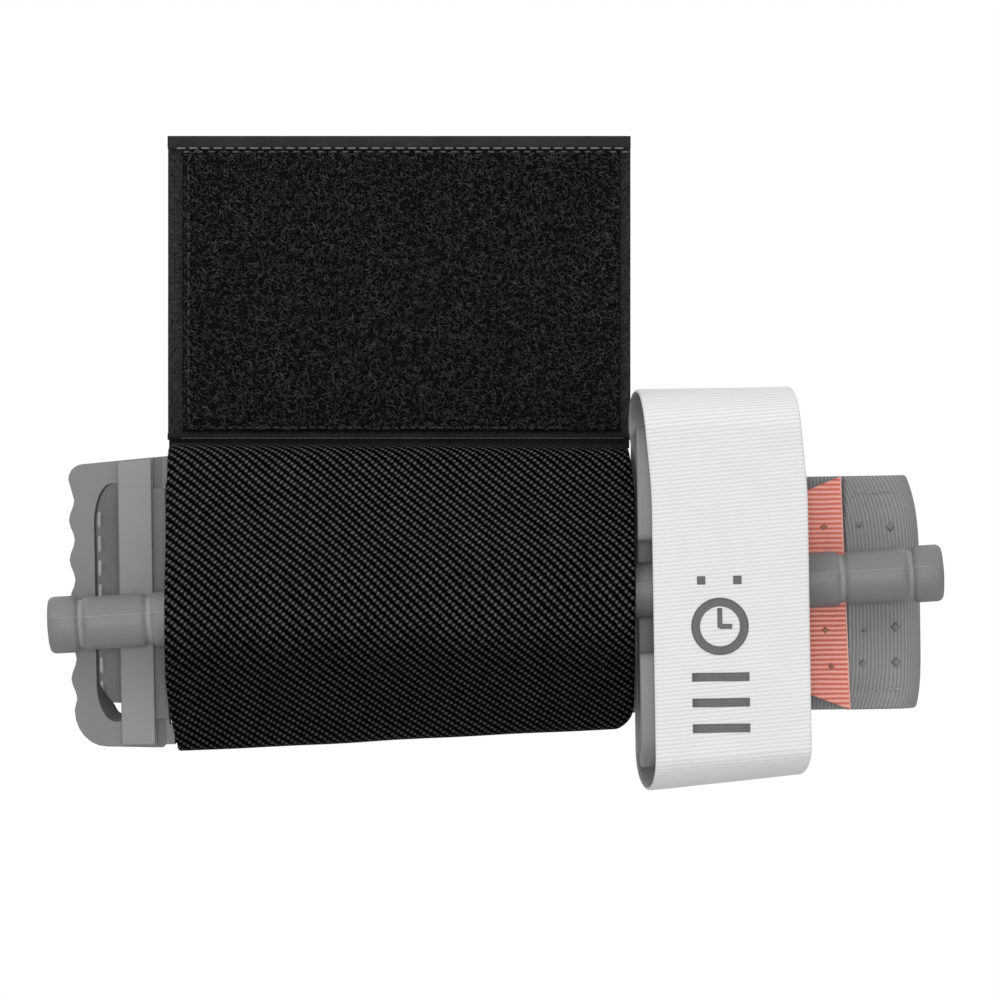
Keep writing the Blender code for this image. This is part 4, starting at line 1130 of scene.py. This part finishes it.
def build_rod():
    """The rod, turned about its own axis, with its slot left to the strap that fills it."""
    axis = long_axis("windlass_rod")
    points = node_points("windlass_rod") - ROD_CENTRE
    along = points @ axis
    end = float(along.max()) - 0.3
    radius = float(np.linalg.norm(points - along[:, None] * axis, axis=1).max())
    body, barrel, groove = radius - 0.15, radius - 0.3, radius - 0.75
    head_from = end - HEAD_LENGTH
    barrel_to = head_from - GROOVE_LENGTH
    barrel_from = barrel_to - BARREL_LENGTH
    body_to = barrel_from - GROOVE_LENGTH
    half = [
        (0.0, body), (body_to - 0.5, body), (body_to, body - 0.12), (body_to + 0.45, groove),
        (barrel_from - 0.45, groove), (barrel_from, barrel - 0.12), (barrel_from + 0.5, barrel),
        (barrel_to - 1.2, barrel), (barrel_to - 0.35, barrel + 0.12), (barrel_to, barrel - 0.05),
        (barrel_to + 0.5, groove), (head_from - 0.45, groove), (head_from, radius - 0.15),
        (head_from + 0.35, radius), (end - 1.0, radius), (end - 0.45, radius - 0.18),
        (end - 0.12, radius - 0.6), (end, radius - 1.2), (end + 0.15, radius * 0.4), (end + 0.18, 0.02),
    ]
    profile = [(-x, r) for x, r in half[:0:-1]] + half
    dense = []
    for (xa, ra), (xb, rb) in zip(profile, profile[1:]):
        count = max(1, int(abs(xb - xa) / 1.5))
        dense += [(xa + (xb - xa) * k / count, ra + (rb - ra) * k / count) for k in range(count)]
    dense.append(profile[-1])
    turn = np.arange(ROD_SIDES) * math.tau / ROD_SIDES
    up = np.cross(axis, INWARD)
    up /= np.linalg.norm(up)
    inward = np.cross(up, axis)
    seam = 0.07 * np.exp(-((turn - PARTING_LINE) / 0.03) ** 2)
    outward = np.cos(turn)[:, None] * up + np.sin(turn)[:, None] * inward
    solid = groove - 0.01
    points = [ROD_CENTRE + axis * x + (r + seam * (r > solid))[:, None] * outward for x, r in dense]
    rows = len(dense)
    faces = grid_faces(rows, ROD_SIDES, 0, True, True).tolist()
    faces.append(list(range(ROD_SIDES)))
    faces.append(list(range(rows * ROD_SIDES - 1, (rows - 1) * ROD_SIDES - 1, -1)))
    # The grooves take the lighter plastic: painted highlight.
    in_groove = [max(ra, rb) < groove + 0.02 for (_, ra), (_, rb) in zip(dense, dense[1:])]
    slots = np.concatenate([np.repeat(in_groove, ROD_SIDES), [False, False]])
    made = add_mesh("rod_body", np.concatenate(points), faces, [ROD_PLASTIC, ROD_GROOVE_HIGHLIGHT], slots=slots)
    front = math.cos(PARTING_LINE) * up + math.sin(PARTING_LINE) * inward
    ridge = [(x, r + 0.05) for x, r in dense if r > solid and abs(x) < end - 0.5]
    line = [ROD_CENTRE + axis * x + front * r for x, r in ridge]
    # The parting line's ridge in the lighter plastic: a real ridge with a painted highlight.
    placed(tubes("rod_parting_line", [line], 0.06, 6, ROD_LINE_HIGHLIGHT), "windlass", "rod")
    made.data.set_sharp_from_angle(angle=math.radians(50))
    tool_mesh = bpy.data.meshes.new("rod_slot_tool")
    wide, high, deep = ROD_SLOT
    corners = [(x, y, z) for x in (-wide, wide) for y in (-high, high) for z in (-deep, deep)]
    places = (np.array(corners) @ np.stack([axis, inward, up]) + ROD_CENTRE) * MM
    quads = [(0, 1, 3, 2), (4, 6, 7, 5), (0, 4, 5, 1), (2, 3, 7, 6), (0, 2, 6, 4), (1, 5, 7, 3)]
    tool_mesh.from_pydata(places.tolist(), [], quads)
    tool_mesh.update()
    tool = linked("rod_slot_tool", tool_mesh)
    cut = made.modifiers.new("Slot", "BOOLEAN")
    cut.object = tool
    cut.solver = "EXACT"
    settle(made)
    bpy.data.objects.remove(tool)
    placed(made, "windlass", "rod", "windlass_rod")
    return axis, inward, up


def settle(made):
    """Apply a piece's modifiers."""
    graph = bpy.context.evaluated_depsgraph_get()
    graph.update()
    mesh = bpy.data.meshes.new_from_object(made.evaluated_get(graph))
    made.modifiers.clear()
    made.data = mesh


def build_load_strap(axis, inward, up):
    """The inner strap, from the plate through the rod's slot and back."""
    points = node_points("windlass_strap") - ROD_CENTRE
    wide = float((points @ axis).max())
    foot = float((points @ inward).max()) - 0.5
    far = float((points @ up).max())
    bend = [(foot, far), (foot, far - 1.6), (foot - 1.2, far - 2.6), (1.2, 6.0), (0.25, 5.0), (0.0, 4.0),
            (0.0, 0.0)]
    path = resampled(np.array(bend + [(y, -z) for y, z in bend[-2::-1]]), 90)
    rows = edged(-wide, wide, 0.9, 0.45)
    grid = (ROD_CENTRE + rows[:, None, None] * axis + path[None, :, :1] * inward + path[None, :, 1:] * up)
    made = shell("load_strap_cloth", grid, 0.85, [WEB_ACROSS])
    cloth(made, "windlass", "webbing_grey", ["windlass_strap"])


# ---------------------------------------------------------------- buckle

SLOT_LEAN = 1.8
SLOT_LEAN_HEIGHTS = (12.0, 17.0)
SLOT_SIDES = (-66.0, -60.8)
CHANNEL_SIDES = (-55.3, -53.6)
CHANNEL_FLOOR = (0.3, 1.5)
PRONG_STRETCH = 1.03


def shape_buckle(made):
    """Lean the slot's outer wall inwards at its foot, and paint shade on the floor of the groove beside the
    cover.
    """
    low, high = belt_box("buckle_frame")
    left, right = SLOT_SIDES
    for vertex in made.data.vertices:
        x, y, z = to_belt(vertex.co)
        if y > high[1] - 0.1 and left < x < right and low[2] + 2.0 < z < -SLOT_LEAN_HEIGHTS[0]:
            share = np.clip((right - x) / 3.5, 0, 1) * eased(-z, *SLOT_LEAN_HEIGHTS)
            vertex.co += Vector(ALONG) * MM * SLOT_LEAN * float(share)
    # The groove's front-facing floor takes the darker plastic: painted shade.
    made.data.materials.append(GROOVE_SHADE_PLASTIC)
    for face in made.data.polygons:
        x, y, _ = to_belt(face.center)
        floor = low[1] + CHANNEL_FLOOR[0] < y < low[1] + CHANNEL_FLOOR[1]
        if CHANNEL_SIDES[0] < x < CHANNEL_SIDES[1] and floor and face.normal.y < -0.9:
            face.material_index = 1


def stretch_prongs(made):
    """Lengthen the prong plate a little, so that no light shows past its ends."""
    for vertex in made.data.vertices:
        height = to_belt(vertex.co)[2]
        vertex.co += Vector(ACROSS) * MM * float(height) * (PRONG_STRETCH - 1)


# ---------------------------------------------------------------- stage

CAMERA_PLACE = (0.0166, -0.995, -0.0349)
CAMERA_LENS = 216.9
FLOOR_HEIGHT = -0.30
FLOOR_REACH = 2.1
SKY_RISE = (-0.35, 0.75)
SKY_LOW = 0.42
SKY_HIGH = 0.98
LIGHTS = [
    ("key", (-0.45, -0.75, 0.65), (0.0, 0.0, -0.03), 0.55, 2.0),
    ("fill", (0.02, -1.25, -0.01), (0.015, 0.0, -0.035), 0.3, 4.2),
]


def build_stage():
    """A pale floor, soft lights and the camera straight in front."""
    floor_mesh = bpy.data.meshes.new("floor")
    around = ((-1, -1), (1, -1), (1, 1), (-1, 1))
    corners = [(x * FLOOR_REACH, y * FLOOR_REACH, FLOOR_HEIGHT) for x, y in around]
    floor_mesh.from_pydata(corners, [], [(0, 1, 2, 3)])
    floor = linked("floor", floor_mesh)
    pale = Surface("floor_pale", 0.9)
    pale.colour(pale.noise(60.0, 2.0), (0.0, 208), (1.0, 212))
    floor_mesh.materials.append(pale.material)

    world = bpy.data.worlds.new("studio")
    bpy.context.scene.world = world
    world.use_nodes = True
    tree = world.node_tree
    backdrop = tree.nodes["Background"]
    backdrop.inputs["Color"].default_value = (1.0, 1.0, 1.0, 1.0)
    rise = fed(tree, "ShaderNodeSeparateXYZ", "Z", {0: fed(tree, "ShaderNodeTexCoord", "Generated")})
    sky = rise.step(*SKY_RISE) * (SKY_HIGH - SKY_LOW) + SKY_LOW
    seen = fed(tree, "ShaderNodeLightPath", "Is Camera Ray")
    strength = sky + seen * (sky * -1.0 + 1.0)
    tree.links.new(strength.socket, backdrop.inputs["Strength"])

    for name, place, aim, size, power in LIGHTS:
        lamp = bpy.data.lights.new(name, "AREA")
        lamp.shape = "DISK"
        lamp.size = size
        lamp.energy = power
        holder = linked(name, lamp)
        holder.location = place
        holder.rotation_euler = (Vector(aim) - Vector(place)).to_track_quat("-Z", "Y").to_euler()

    lens = bpy.data.cameras.new("camera")
    lens.sensor_width = 36.0
    lens.lens = CAMERA_LENS
    lens.clip_start = 0.05
    lens.clip_end = 20.0
    camera = linked("camera", lens)
    camera.location = CAMERA_PLACE
    camera.rotation_euler = (math.radians(90), 0.0, 0.0)
    bpy.context.scene.camera = camera
    bpy.context.scene.view_settings.view_transform = "Standard"


build_flap()
build_hook_field()
build_sleeve(build_seam())
strap = build_time_strap()
build_time_mark(strap)
build_patches()
build_belt()
build_red_tip()
build_fixed_loop()
rod_axis, rod_inward, rod_up = build_rod()
build_load_strap(rod_axis, rod_inward, rod_up)
shape_buckle(softened("buckle_body", "buckle_frame", PLASTIC, 0.35, "buckle", "plastic"))
softened("buckle_plate", "buckle_cover", COVER_PAINTED_LIGHT_PLASTIC, 0.25, "buckle", "plastic_light")
softened("clip_body", "windlass_clip", CLIP_PAINTED_LIGHT_PLASTIC, 0.4, "tourniquet", "plastic")
softened("stabiliser", "base_plate", PLASTIC, 0.4, "tourniquet", "plastic")
stretch_prongs(softened("prong_carrier", "prong_plate", PRONG_PLASTIC_PAINTED_SHADE, 0.15, "prongs", "plastic"))
softened("pin_body", "buckle_pin", STEEL, 0.2, "buckle", "steel")
softened("leaf_spring", "prong_spring", STEEL, 0.08, "prongs", "steel")
build_stage()
